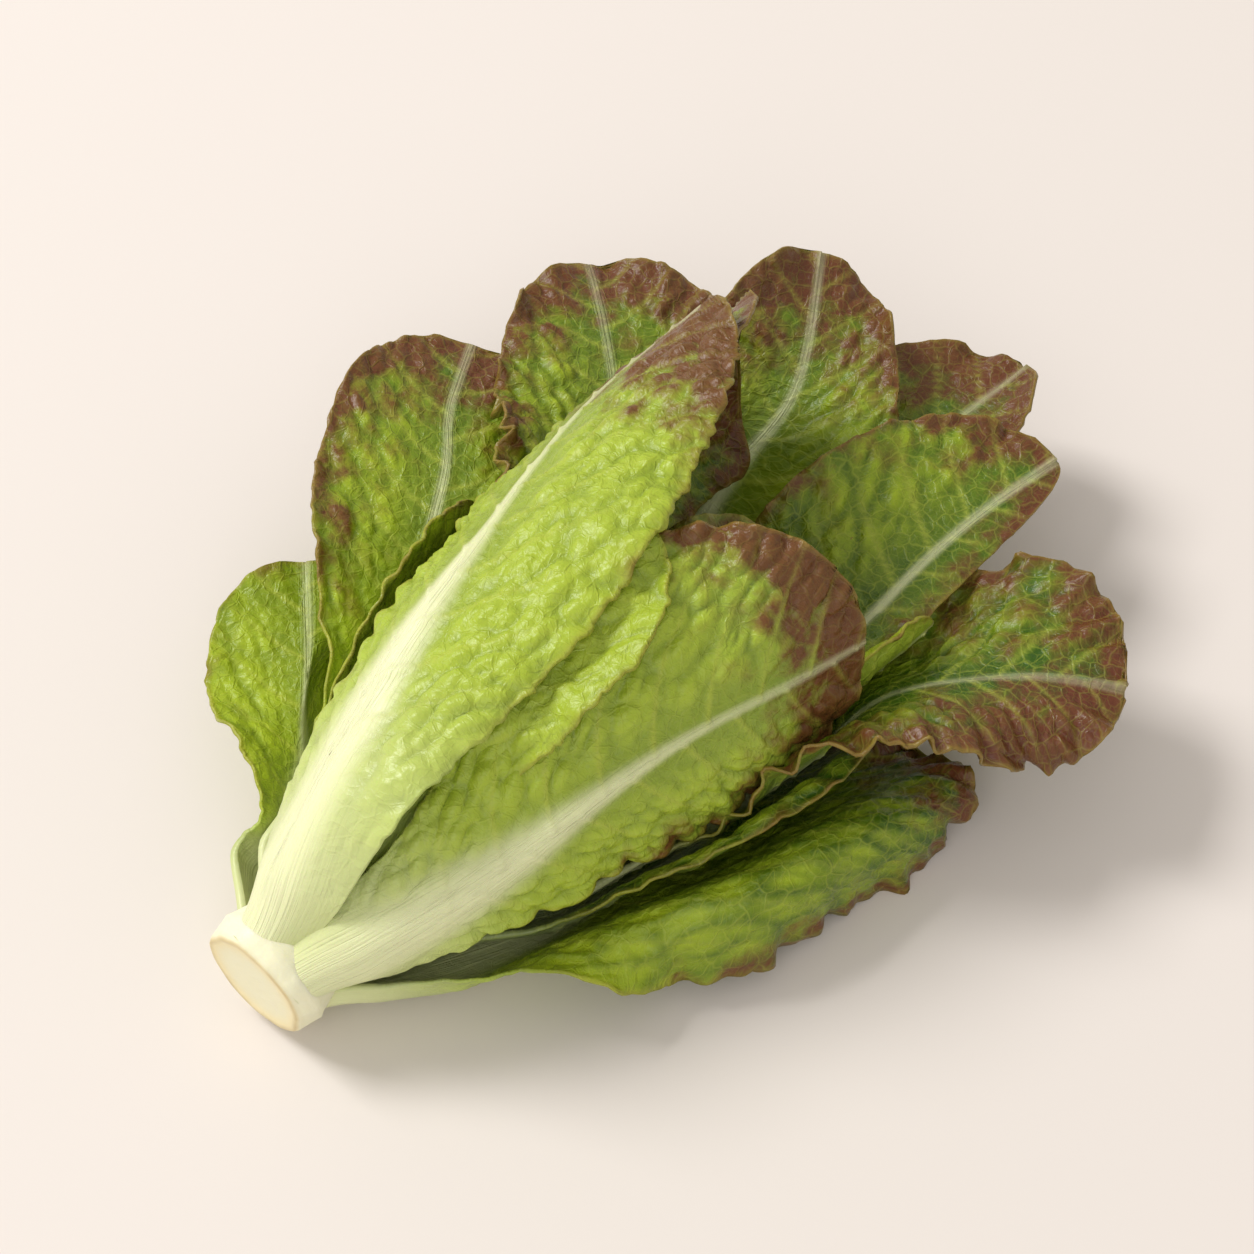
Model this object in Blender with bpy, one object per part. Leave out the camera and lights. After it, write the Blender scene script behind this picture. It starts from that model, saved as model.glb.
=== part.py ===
"""A head of red romaine lettuce, cut at the stem and laid on its side.

Frame: metres, +Z up, the table top at z = 0, the cut stem towards -X and the leaf tips towards +X.
The head is modelled round its own axis, which rises from the stem towards the tips. A place in the
head is (x, azimuth, radius): x along the axis from the cut, azimuth round it with 0 up and 90 towards
+Y, radius out from it. Leaves are laid from the heart outwards, and each is lifted clear of those
inside it, so that they nest without touching.
"""

import itertools
import math
from dataclasses import dataclass

import bpy
import numpy as np

MM = 0.001

# The stem, in millimetres.
STEM_CUT_RADIUS = 16.5
STEM_COLLAR_RADIUS = 19.0
STEM_COLLAR_LENGTH = 8.0
STEM_PROFILE = (
    (0.0, STEM_CUT_RADIUS),
    (1.0, STEM_CUT_RADIUS + 0.9),
    (4.5, STEM_COLLAR_RADIUS - 0.8),
    (STEM_COLLAR_LENGTH, STEM_COLLAR_RADIUS),
    (STEM_COLLAR_LENGTH + 0.8, 13.6),
    (25.0, 10.5),
    (45.0, 6.5),
    (60.0, 3.0),
)
STEM_TIP = 63.0
STEM_SIDES = 28
# The cut slants towards one azimuth, and the collar takes up the slant over its first millimetres.
CUT_SLANT_DEG, CUT_SLANT_AZIMUTH, CUT_SLANT_REACH = 10.0, -27.0, 5.0

# How the head lies: its axis rises from the stem to the tips, and the cut's centre is above the table.
AXIS_RISE_DEG = 11.0
CUT_HEIGHT = 21.0

# The blades, in millimetres.
BLADE = 0.9
RIB_WIDTH_BASE, RIB_WIDTH_TIP = 10.0, 2.0
LEAF_GAP = 1.3
TIP_ROUNDNESS = 2.3
FULL_WIDTH = 0.68
RUFFLE_REACH = 16.0
ROLL_FROM, ROLL_TO = 0.42, 0.85

# Leaves that would sink below the table are pressed up, the more the lower they are, and lie flat on it.
PRESS_FROM = 40.0
PRESS_CELL = 6.0
REST_FLAT = 0.5

FINISHES = (
    ("stem_pale", (0.80, 0.76, 0.52), 0.45),
    ("heart_green", (0.45, 0.52, 0.12), 0.45),
    ("leaf_green", (0.18, 0.30, 0.05), 0.42),
    ("leaf_red", (0.22, 0.10, 0.05), 0.42),
)

# The grid of a leaf: rows along the rib, and where its columns stand as shares of the half width.
ROWS = 16
LAST_ROW, ROW_EASE = 0.995, 1.25
COLUMNS = (-1.0, -0.78, -0.55, -0.32, -0.12, 0.0, 0.12, 0.32, 0.55, 0.78, 1.0)

# The height map that keeps leaves nested: its cells, and how finely a leaf is read and lifted.
CELL_X, CELL_AZIMUTH = 2.5, 2.5
MAP_START, MAP_END = -8.0, 340.0
SAMPLES = 10
LIFT_SAMPLES, LIFT_ROUNDS, LIFT_PASSES, LIFT_EASE = 8, 8, 2, 0.8
SPREAD_FROM = 60.0
LIFT_SLOPE, NORMAL_SMOOTHINGS = 1.4, 2
CORNERS = (
    (slice(None, -1), slice(None, -1)), (slice(1, None), slice(None, -1)),
    (slice(None, -1), slice(1, None)), (slice(1, None), slice(1, None)),
)


@dataclass(frozen=True)
class Leaf:
    """One leaf: where its rib runs, how wide it is, how each half bends, and how its edge waves.

    rib holds (x, azimuth, radius) points. hug holds pairs (left half, right half) at even steps
    from the base to the tip: 1 keeps to the round of the head, 0 is flat, below 0 turns back.
    Left is towards a larger azimuth. roll turns each half's outer third back, in degrees.
    """

    name: str
    rib: tuple
    half_width: tuple
    base_width: float = 12.0
    widest: tuple = (0.68, 0.68)
    hug: tuple = ((1.0, 1.0), (0.9, 0.9), (0.6, 0.6), (0.4, 0.4))
    turn: tuple = (0.0, 0.0, 0.0)
    roll: tuple = ((0.0, 0.0), (0.0, 0.0), (0.0, 0.0))
    waist: float = 1.15
    rib_depth: float = 4.0
    ruffle: float = 3.0
    wave: float = 48.0
    phase: float = 0.0
    finish: str = "leaf_red"


LEAVES = (
    Leaf(
        name="leaf_heart_top", finish="heart_green",
        rib=((48, 20, 7.5), (90, 25, 13), (130, 20, 16), (165, 10, 12)),
        half_width=(24, 24), base_width=6, rib_depth=1.5, ruffle=1.5,
        hug=((1, 1), (0.9, 0.9), (0.8, 0.8), (0.8, 0.8)),
    ),
    Leaf(
        name="leaf_heart_under", finish="heart_green",
        rib=((46, -155, 8), (90, -160, 14), (140, -165, 16), (176, -170, 13)),
        half_width=(24, 24), base_width=6, rib_depth=1.5, ruffle=1.5, phase=1.0,
        hug=((1, 1), (0.9, 0.9), (0.8, 0.8), (0.7, 0.7)),
    ),
    Leaf(
        name="leaf_heart_near", finish="heart_green",
        rib=((43, -75, 8.5), (100, -70, 18), (150, -60, 22), (192, -45, 18)),
        half_width=(28, 26), base_width=7, rib_depth=1.8, ruffle=1.5, phase=2.0,
        hug=((1, 1), (0.9, 0.9), (0.8, 0.7), (0.6, 0.6)),
    ),
    Leaf(
        name="leaf_inner_top",
        rib=((40, 70, 9), (90, 60, 27), (150, 60, 42), (205, 62, 49), (243, 74, 48)),
        half_width=(55, 34), base_width=5, rib_depth=2.0, ruffle=1.5, phase=0.3, widest=(0.93, 0.7),
        hug=((1, 1), (1.2, 1), (1.6, 1), (1.2, 1)),
    ),
    Leaf(
        name="leaf_long_near",
        rib=((37, -110, 9.5), (100, -106, 30), (150, -106, 41), (191, -108, 44), (224, -116, 43),
             (256, -123, 45), (284, -128, 50)),
        half_width=(13, 46), base_width=5, rib_depth=2.5, ruffle=2.0, phase=1.4,
        turn=(0, -10, -45, -64, -60),
        hug=((1, 1), (0.9, 0.9), (-0.4, 0.5), (-1.2, 0.3)),
    ),
    Leaf(
        name="leaf_far_rib",
        rib=((36, 142, 11.5), (100, 144, 23), (170, 142, 24), (219, 134, 27), (247, 123, 39), (269, 105, 47),
             (284, 97, 56)),
        half_width=(34, 38), base_width=5, rib_depth=2.5, ruffle=3.0, phase=0.8, waist=1.7,
        turn=(0, 0, 20, 40, 40),
        hug=((1, 1), (0.9, 0.9), (0.4, 0.4), (0.1, 0.2)),
    ),
    Leaf(
        name="leaf_long_under",
        rib=((32, -175, 11.5), (100, -172, 29), (190, -176, 36), (250, -177, 36), (308, -172, 40)),
        half_width=(28, 42), base_width=5, rib_depth=2.5, ruffle=3.0, phase=2.6,
        hug=((1, 1), (1, 0.9), (1, 0.6), (0.9, 0.5)),
    ),
    Leaf(
        name="leaf_small_near", finish="leaf_green",
        rib=((33, -62, 9.5), (90, -84, 31), (150, -98, 46), (185, -104, 53), (212, -106, 57)),
        half_width=(20, 14), base_width=5, rib_depth=2.0, ruffle=1.5, phase=2.2,
        hug=((1, 1), (0.9, 0.9), (0.7, 0.8), (0.2, 0.5)),
        roll=((0, 0), (0, 0), (-50, 0)),
    ),
    Leaf(
        name="leaf_wide_far",
        rib=((26, 112, 12.5), (90, 114, 36), (150, 112, 47), (190, 109, 62), (217, 104, 87), (242, 101, 123)),
        half_width=(46, 38), base_width=5, rib_depth=3.0, ruffle=4.0, phase=0.2,
        turn=(0, 0, 15, 45, 62),
        hug=((1, 1), (0.8, 0.8), (0.3, 0.3), (0.1, 0.1)),
    ),
    Leaf(
        name="leaf_front",
        rib=((12.0, -62, 15.5), (50, -58, 37), (85, -58, 47), (123, -60, 55), (154, -68, 58.5),
             (184, -77, 60)),
        half_width=(55, 38), base_width=10.5, rib_depth=4.5, ruffle=2.0, phase=2.0,
        hug=((1, 1), (1, 1), (1.1, 1), (1.15, 0.9)),
    ),
    Leaf(
        name="leaf_under_wrapper", finish="leaf_green",
        rib=((46, -14, 20), (62, -6, 36), (84, 1, 46), (120, 4, 52), (158, 4, 54)),
        half_width=(30, 39), base_width=4, rib_depth=1.6, ruffle=1.5, phase=1.9, waist=0.62,
        hug=((1, 1), (1, 1), (1, 1), (1, 0.9)),
        roll=((0, 0), (0, -25), (0, -50), (0, -50)),
    ),
    Leaf(
        name="leaf_top",
        rib=((12.0, 12, 15.5), (31, 11, 28.5), (55, 14, 40), (85, 21, 48), (119, 28, 53.5), (165, 44, 57),
             (200, 54, 57), (229, 58, 55)),
        half_width=(26, 49), base_width=10.5, rib_depth=4.5, ruffle=2.0, phase=0.5,
        widest=(0.68, 0.74), waist=0.8,
        hug=((1, 1), (1.05, 1), (1.1, 1.0), (1.2, 1.1)),
    ),
    Leaf(
        name="leaf_strip_left",
        rib=((24, 80, 11), (60, 92, 38), (100, 97, 51), (128, 97, 56), (148, 96, 58)),
        half_width=(30, 39), base_width=4, rib_depth=2.0, ruffle=1.5, phase=1.2, waist=1.6,
        hug=((1, 1), (1, 1), (0.9, 1), (0.9, 0.95)),
        roll=((0, 0), (0, -20), (0, -30)),
    ),
    Leaf(
        name="leaf_open_left",
        rib=((20, 116, 12), (60, 105, 37), (100, 98, 54), (138, 93, 76), (168, 93, 97), (191, 95, 113)),
        half_width=(50, 38), base_width=5, rib_depth=2.5, ruffle=2.5, phase=0.0, waist=1.5,
        turn=(0, 15, 50, 70, 75),
        hug=((1, 1), (0.6, 0.6), (0.2, 0.4), (0.1, 0.3)),
    ),
    Leaf(
        name="leaf_floor",
        rib=((12.0, 164, 15.5), (60, 172, 34), (120, 178, 44), (190, 178, 54), (250, 174, 60)),
        half_width=(30, 50), base_width=9, rib_depth=3.0, ruffle=3.0, phase=2.4, waist=1.4,
        hug=((1, 1), (1, 0.9), (1, 0.6), (1, 0.3)),
    ),
    Leaf(
        name="leaf_right",
        rib=((45, -118, 12), (62, -119, 32), (120, -110, 52), (150, -104, 58), (178, -100, 62),
             (200, -100, 75), (219, -100, 92), (234, -101, 112)),
        half_width=(32, 44), base_width=4, rib_depth=2.0, ruffle=3.0, phase=0.9,
        widest=(0.8, 0.84), waist=2.6,
        turn=(0, 0, -15, -50, -85),
        hug=((1, 1), (0.9, 0.9), (0.2, 0.9), (-2.2, 0.4)),
        roll=((0, 0), (0, 0), (-20, 0), (-60, 0)),
    ),
    Leaf(
        name="leaf_near_under",
        rib=((38, -128, 14), (60, -124, 34), (110, -115, 53), (150, -118, 62), (178, -124, 70)),
        half_width=(29, 24), base_width=4.5, rib_depth=2.0, ruffle=1.5, phase=2.9,
        widest=(0.72, 0.68), waist=1.5,
        hug=((1, 1), (0.8, 0.9), (0.6, 0.8), (0.4, 0.6)),
        roll=((0, 0), (-40, 0), (-75, 0), (-60, 0)),
    ),
    Leaf(
        name="leaf_low_left", finish="leaf_green",
        rib=((12.0, 124, 15.5), (40, 114, 32), (72, 104, 64), (104, 97, 100)),
        half_width=(34, 30), base_width=7, rib_depth=3.0, ruffle=3.0, phase=0.4,
        turn=(0, 20, 55, 60),
        hug=((1, 1), (0.5, 0.5), (0.2, 0.2), (0.1, 0.1)),
    ),
    Leaf(
        name="leaf_low_right",
        rib=((12.0, -138, 15.5), (50, -136, 37), (100, -135, 56), (150, -139, 70), (186, -146, 83)),
        half_width=(84, 36), base_width=9, rib_depth=3.5, ruffle=3.5, phase=1.7,
        widest=(0.76, 0.7), waist=1.15,
        hug=((1, 1), (0.5, 1.4), (0.2, 1.6), (0.0, 1.2)),
        roll=((0, 0), (-30, 0), (-140, 0), (-150, 0), (-130, 0)),
    ),
)


def smoothstep(value, low, high):
    share = np.clip((value - low) / (high - low), 0.0, 1.0)
    return share * share * (3.0 - 2.0 * share)


def outward(azimuth):
    """The unit vector out from the head's axis at an azimuth in radians."""
    return np.stack([np.zeros_like(azimuth), np.sin(azimuth), np.cos(azimuth)], axis=-1)


def head_point(x, azimuth, radius):
    azimuth = np.radians(azimuth)
    return np.array([x, radius * math.sin(azimuth), radius * math.cos(azimuth)])


def cylindrical(points):
    """x, azimuth in degrees from 0 to 360, and radius of points round the head's axis."""
    azimuth = np.degrees(np.arctan2(points[..., 1], points[..., 2])) % 360.0
    return points[..., 0], azimuth, np.hypot(points[..., 1], points[..., 2])


def smooth_path(points, count):
    """A natural cubic through the points, resampled at even arc lengths. Returns points and length."""
    knots = np.concatenate([[0.0], np.cumsum(np.linalg.norm(np.diff(points, axis=0), axis=1))])
    size, steps = len(knots), np.diff(knots)
    system, right = np.eye(size), np.zeros_like(points)
    for i in range(1, size - 1):
        system[i, i - 1:i + 2] = steps[i - 1], 2.0 * (steps[i - 1] + steps[i]), steps[i]
        right[i] = 6.0 * ((points[i + 1] - points[i]) / steps[i] - (points[i] - points[i - 1]) / steps[i - 1])
    bends = np.linalg.solve(system, right)
    fine = np.linspace(0.0, knots[-1], 200)
    span = np.clip(np.searchsorted(knots, fine, side="right") - 1, 0, size - 2)
    width = steps[span][:, None]
    after = (fine - knots[span])[:, None]
    before = width - after
    curve = (
        bends[span] * before**3 / (6 * width)
        + bends[span + 1] * after**3 / (6 * width)
        + (points[span] / width - bends[span] * width / 6) * before
        + (points[span + 1] / width - bends[span + 1] * width / 6) * after
    )
    lengths = np.concatenate([[0.0], np.cumsum(np.linalg.norm(np.diff(curve, axis=0), axis=1))])
    even = np.linspace(0.0, lengths[-1], count)
    return np.stack([np.interp(even, lengths, curve[:, k]) for k in range(3)], axis=1), lengths[-1]


def along(values, share):
    """Values given at even steps from base to tip, eased between, at a share of the way."""
    values = np.asarray(values, float)
    place = np.clip(share, 0.0, 1.0) * (len(values) - 1)
    low = np.minimum(place.astype(int), len(values) - 2)
    part = smoothstep(place - low, 0.0, 1.0)
    return values[low] * (1.0 - part) + values[low + 1] * part


def round_off(share):
    return (1.0 - share**TIP_ROUNDNESS) ** (1.0 / TIP_ROUNDNESS)


class Sheet:
    """A leaf's inner face as a grid of points, with its outward normals and its thickness."""

    PATH_POINTS = 120
    BEND_STEPS = 14

    def __init__(self, leaf, rows, columns):
        self.leaf = leaf
        across, up = np.meshgrid(np.asarray(columns), np.linspace(0.0, 1.0, rows + 1))
        eased = 1.0 - (1.0 - up) ** ROW_EASE
        self.share = LAST_ROW * (0.75 * eased + 0.25 * smoothstep(up, 0.0, 1.0))
        self.widest = np.where(across >= 0, *leaf.widest)
        past = np.clip((self.share - self.widest) / (1.0 - self.widest), 0.0, 1.0)
        self.across = across * round_off(past)
        self.end = self.widest + (1.0 - self.widest) * round_off(np.abs(self.across))
        self.place()

    def place(self):
        leaf = self.leaf
        control = np.array([head_point(*p) for p in leaf.rib])
        path, self.length = smooth_path(control, self.PATH_POINTS)
        tangent = np.gradient(path, axis=0)
        tangent /= np.linalg.norm(tangent, axis=1)[:, None]
        out = path * np.array([0.0, 1.0, 1.0])
        reach = np.linalg.norm(out, axis=1)
        out -= (out * tangent).sum(axis=1)[:, None] * tangent
        out /= np.linalg.norm(out, axis=1)[:, None]
        left = np.cross(out, tangent)
        even = np.linspace(0.0, 1.0, self.PATH_POINTS)
        turn = np.radians(along(leaf.turn, even))[:, None]
        out, left = out * np.cos(turn) + left * np.sin(turn), left * np.cos(turn) - out * np.sin(turn)

        def at(values):
            return np.stack([np.interp(self.share, even, values[:, k]) for k in range(3)], axis=-1)

        origin, out, left = at(path), at(out), at(left)
        reach = np.interp(self.share, even, np.maximum(reach, 12.0))
        side = (self.across < 0).astype(int)
        width = self.half_width(self.share)
        hug = self.by_side(leaf.hug)
        roll = np.radians(self.by_side(leaf.roll))
        sign = np.where(side == 0, 1.0, -1.0)[..., None]
        distance = np.abs(self.across) * width
        angle = np.zeros_like(distance)
        point = origin.copy()
        for step in range(self.BEND_STEPS):
            part = (step + 0.5) / self.BEND_STEPS * np.abs(self.across)
            angle = hug * part * width / reach + roll * smoothstep(part, ROLL_FROM, ROLL_TO)
            move = (distance / self.BEND_STEPS)[..., None]
            point += move * (np.cos(angle)[..., None] * left * sign - np.sin(angle)[..., None] * out)
        self.points = point
        self.distance = distance
        normal = np.cos(angle)[..., None] * out + np.sin(angle)[..., None] * left * sign
        self.points += normal * self.ruffles(width)[..., None]

    def by_side(self, pairs):
        left, right = zip(*pairs)
        return np.where(self.across >= 0, along(left, self.share), along(right, self.share))

    def half_width(self, share):
        leaf = self.leaf
        widest = np.where(self.across >= 0, leaf.half_width[0], leaf.half_width[1])
        grown = np.clip(share / FULL_WIDTH, 0.0, 1.0) ** leaf.waist
        return leaf.base_width + (widest - leaf.base_width) * smoothstep(grown, -0.05, 1.02)

    def edge_place(self, width):
        """Distance in from the leaf's edge, and the place along that edge, in millimetres."""
        side = (1.0 - np.abs(self.across)) * width
        top = (self.end - self.share) * self.length
        inward = np.minimum(side, top)
        past = np.maximum(self.share - self.widest, 0.0) * self.length
        round_tip = np.arctan2(past, np.maximum(self.distance, 1e-6))
        return inward, np.minimum(self.share, self.widest) * self.length + round_tip * width

    def ruffles(self, width):
        leaf = self.leaf
        inward, place = self.edge_place(width)
        strength = np.exp(-inward / RUFFLE_REACH) * smoothstep(self.share, 0.12, 0.5)
        side = np.where(self.across >= 0, 0.0, 1.3)
        wave = np.sin(2 * math.pi * place / leaf.wave + leaf.phase * 2 + side)
        wave += 0.4 * np.sin(2 * math.pi * place / (leaf.wave * 0.62) + leaf.phase * 5 + side)
        return 0.5 * leaf.ruffle * strength * wave

    def normals(self):
        """Unit normals of the grid, pointing to the leaf's outer face."""
        up = np.gradient(self.points, axis=0)
        across = np.gradient(self.points, axis=1)
        normal = np.cross(up, across)
        size = np.linalg.norm(normal, axis=-1, keepdims=True)
        normal = normal / np.maximum(size, 1e-9)
        for _ in range(NORMAL_SMOOTHINGS):
            normal = smoothed(normal)
        return normal / np.linalg.norm(normal, axis=-1, keepdims=True)

    def thickness(self):
        """The leaf's thickness: a thin blade and a rib that tapers to the tip."""
        leaf = self.leaf
        rib_width = RIB_WIDTH_BASE + (RIB_WIDTH_TIP - RIB_WIDTH_BASE) * smoothstep(self.share, 0.0, 0.75)
        rib_depth = leaf.rib_depth * (1.0 - smoothstep(self.share, 0.05, 0.95)) ** 1.2
        base = 0.3 * leaf.rib_depth * (1.0 - smoothstep(self.share, 0.0, 0.18))
        edge = 1.0 - smoothstep(np.abs(self.across), 0.4, 1.0)
        return BLADE + rib_depth * np.exp(-((self.distance / rib_width) ** 2)) + base * edge

    def outer(self):
        return self.points + self.normals() * self.thickness()[..., None]


def smoothed(grid):
    """The grid with each value drawn to its neighbours', and the border's kept in line."""
    for axis in (0, 1):
        padded = np.concatenate([grid.take([0], axis), grid, grid.take([-1], axis)], axis)
        count = padded.shape[axis]
        grid = sum(share * padded.take(range(start, count - 2 + start), axis)
                   for share, start in ((0.25, 0), (0.5, 1), (0.25, 2)))
    return grid


def sloped(lift, points):
    """The lift spread round each raised point, so that it falls away no steeper than a slope."""
    flat, values = points.reshape(-1, 3), lift.reshape(-1)
    apart = np.linalg.norm(flat[:, None] - flat[None], axis=2)
    return (values[None] - LIFT_SLOPE * apart).max(axis=1).reshape(lift.shape)


class HeightMap:
    """The radius that the leaves laid so far reach, on a grid of x and azimuth."""

    def __init__(self):
        self.rows = int((MAP_END - MAP_START) / CELL_X) + 1
        self.columns = int(360.0 / CELL_AZIMUTH)
        x = MAP_START + CELL_X * np.arange(self.rows)
        stem = np.interp(x, [p[0] for p in STEM_PROFILE], [p[1] for p in STEM_PROFILE], right=0.0)
        stem[x < STEM_COLLAR_LENGTH + CELL_X] = STEM_PROFILE[4][1]
        self.height = np.repeat(stem[:, None], self.columns, axis=1)

    def cells(self, points):
        x, azimuth, radius = cylindrical(points)
        row = np.clip(np.round((x - MAP_START) / CELL_X).astype(int), 0, self.rows - 1)
        return row, np.round(azimuth / CELL_AZIMUTH).astype(int) % self.columns, radius

    def spread(self):
        """The map with each cell as high as its neighbours, away from the stem."""
        spread = self.height
        for axis in (0, 1):
            spread = np.maximum(spread, np.maximum(np.roll(spread, 1, axis), np.roll(spread, -1, axis)))
        far = MAP_START + CELL_X * np.arange(self.rows)[:, None] > SPREAD_FROM
        return np.where(far, spread, self.height)

    def add(self, points):
        steps = np.linspace(0.0, 1.0, SAMPLES)
        for up in steps:
            for across in steps:
                row, column, radius = self.cells(blend(points, up, across))
                np.maximum.at(self.height, (row, column), radius)


def corner_weights(up, across, columns):
    """What a cell's four corners each give to a place in it, as the cell's two triangles carry them."""
    ahead = (1 - max(up, across), max(up - across, 0), max(across - up, 0), min(up, across))
    back = (max(1 - up - across, 0), min(up, 1 - across), min(across, 1 - up), max(up + across - 1, 0))
    first_half = np.arange(columns - 1)[None, :] < columns // 2
    return [np.where(first_half, a, b) for a, b in zip(ahead, back)]


def blend(grid, up, across):
    """The grid's values at the same place inside every cell."""
    shares = corner_weights(up, across, grid.shape[1])
    return sum(share[..., None] * grid[corner] if grid.ndim == 3 else share * grid[corner]
               for share, corner in zip(shares, CORNERS))


def lay_clear(sheet, heights):
    """Lifts the sheet out from the head's axis, by as little as clears the leaves already laid."""
    steps = np.linspace(0.0, 1.0, LIFT_SAMPLES)
    height = heights.spread()
    for _ in range(LIFT_PASSES):
        faces = (sheet.points, sheet.outer())
        lift = np.zeros(sheet.across.shape)
        for _ in range(LIFT_ROUNDS):
            for points, up, across in itertools.product(faces, steps, steps):
                row, column, radius = heights.cells(blend(points, up, across))
                clear = height[row, column] + LEAF_GAP
                short = np.maximum(clear - radius - blend(lift, up, across), 0.0)
                weights = corner_weights(up, across, lift.shape[1])
                push = LIFT_EASE * short / sum(w * w for w in weights)
                raised = lift.copy()
                for weight, corner in zip(weights, CORNERS):
                    raised[corner] = np.maximum(raised[corner], lift[corner] + weight * push)
                lift = raised
        lift = sloped(lift, sheet.points)
        azimuth = np.radians(cylindrical(sheet.points)[1])
        sheet.points = sheet.points + outward(azimuth) * lift[..., None]
    heights.add(sheet.points)
    heights.add(sheet.outer())


def to_table(points):
    """Head millimetres to millimetres over the table."""
    rise = math.radians(AXIS_RISE_DEG)
    x, y, z = points[..., 0], points[..., 1], points[..., 2]
    return np.stack(
        [x * math.cos(rise) - z * math.sin(rise), y, CUT_HEIGHT + x * math.sin(rise) + z * math.cos(rise)],
        axis=-1,
    )


class TablePress:
    """Presses up what would sink below the table, by column, in the order it lies in."""

    def __init__(self, sheets):
        faces = [to_table(points) for sheet in sheets for points in (sheet.points, sheet.outer())]
        low = np.min([face[..., :2].min(axis=(0, 1)) for face in faces], axis=0)
        high = np.max([face[..., :2].max(axis=(0, 1)) for face in faces], axis=0)
        self.start = low - 2 * PRESS_CELL
        self.shape = ((high - self.start) / PRESS_CELL).astype(int) + 4
        depth = np.zeros(self.shape)
        for face in faces:
            for up in np.linspace(0.0, 1.0, SAMPLES):
                for across in np.linspace(0.0, 1.0, SAMPLES):
                    point = blend(face, up, across)
                    cell = np.round((point[..., :2] - self.start) / PRESS_CELL).astype(int)
                    row, column = np.moveaxis(cell, -1, 0)
                    np.maximum.at(depth, (row, column), -point[..., 2])
        self.depth = self.smooth(depth)

    @staticmethod
    def smooth(depth):
        spread = depth.copy()
        for axis in (0, 1):
            spread = np.maximum(spread, np.maximum(np.roll(spread, 1, axis), np.roll(spread, -1, axis)))
        for axis in (0, 1, 0, 1):
            spread = (np.roll(spread, 1, axis) + 2 * spread + np.roll(spread, -1, axis)) / 4
        return spread

    def place(self, points):
        """The points over the table, pressed up where their column would sink."""
        at = np.clip((points[..., :2] - self.start) / PRESS_CELL, 0.0, self.shape - 1.001)
        row, column = np.moveaxis(at.astype(int), -1, 0)
        up, across = np.moveaxis(at % 1.0, -1, 0)
        near = (1 - up) * self.depth[row, column] + up * self.depth[row + 1, column]
        far = (1 - up) * self.depth[row, column + 1] + up * self.depth[row + 1, column + 1]
        depth = near + (far - near) * across
        share = np.maximum(PRESS_FROM - points[..., 2], 0.0) / (PRESS_FROM + depth)
        points[..., 2] += depth * share
        return points

    def faces(self, sheet):
        """A sheet's inner and outer faces over the table."""
        return self.place(to_table(sheet.points)), self.place(to_table(sheet.outer()))


def clear_scene():
    for obj in list(bpy.data.objects):
        bpy.data.objects.remove(obj, do_unlink=True)


def material(name, colour, roughness):
    made = bpy.data.materials.new(name)
    made.use_nodes = True
    shader = made.node_tree.nodes["Principled BSDF"]
    shader.inputs["Base Color"].default_value = (*colour, 1.0)
    shader.inputs["Roughness"].default_value = roughness
    return made


def add_object(name, points, faces, finish):
    mesh = bpy.data.meshes.new(name)
    mesh.from_pydata((points * MM).tolist(), [], faces)
    mesh.materials.append(finish)
    mesh.shade_smooth()
    obj = bpy.data.objects.new(name, mesh)
    bpy.context.scene.collection.objects.link(obj)
    return obj


def leaf_faces(rows, columns):
    """Triangles of a leaf: its inner grid, its outer grid split alike, and the rim that joins them."""
    count = rows * columns
    place = np.arange(count).reshape(rows, columns)
    faces = []
    for row in range(rows - 1):
        for column in range(columns - 1):
            a, b = place[row, column], place[row, column + 1]
            d, c = place[row + 1, column], place[row + 1, column + 1]
            if column < columns // 2:
                split = ((a, b, c), (a, c, d))
            else:
                split = ((a, b, d), (b, c, d))
            faces += [tuple(int(i) for i in tri) for tri in split]
            faces += [tuple(int(i) + count for i in reversed(tri)) for tri in split]
    border = np.concatenate([place[0, :-1], place[:-1, -1], place[-1, :0:-1], place[:0:-1, 0]]).tolist()
    for here, after in zip(border, border[1:] + border[:1]):
        faces += [(here, here + count, after), (after, here + count, after + count)]
    return faces


def make_leaf(sheet, press, shift, finish):
    inner, outer = (points + shift for points in press.faces(sheet))
    sunk = np.maximum(-np.minimum(inner[..., 2], outer[..., 2]), 0.0)
    inner[..., 2] += sunk
    outer[..., 2] += sunk
    rows, columns = sheet.points.shape[:2]
    points = np.concatenate([inner.reshape(-1, 3), outer.reshape(-1, 3)])
    return add_object(sheet.leaf.name, points, leaf_faces(rows, columns), finish)


def stem_point(x, azimuth, radius):
    """A point of the stem's outline, moved along the axis by the cut's slant."""
    lean = radius * math.cos(math.radians(azimuth - CUT_SLANT_AZIMUTH))
    slope = math.tan(math.radians(CUT_SLANT_DEG)) * max(1.0 - x / CUT_SLANT_REACH, 0.0)
    return head_point(x + slope * lean, azimuth, radius)


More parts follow.
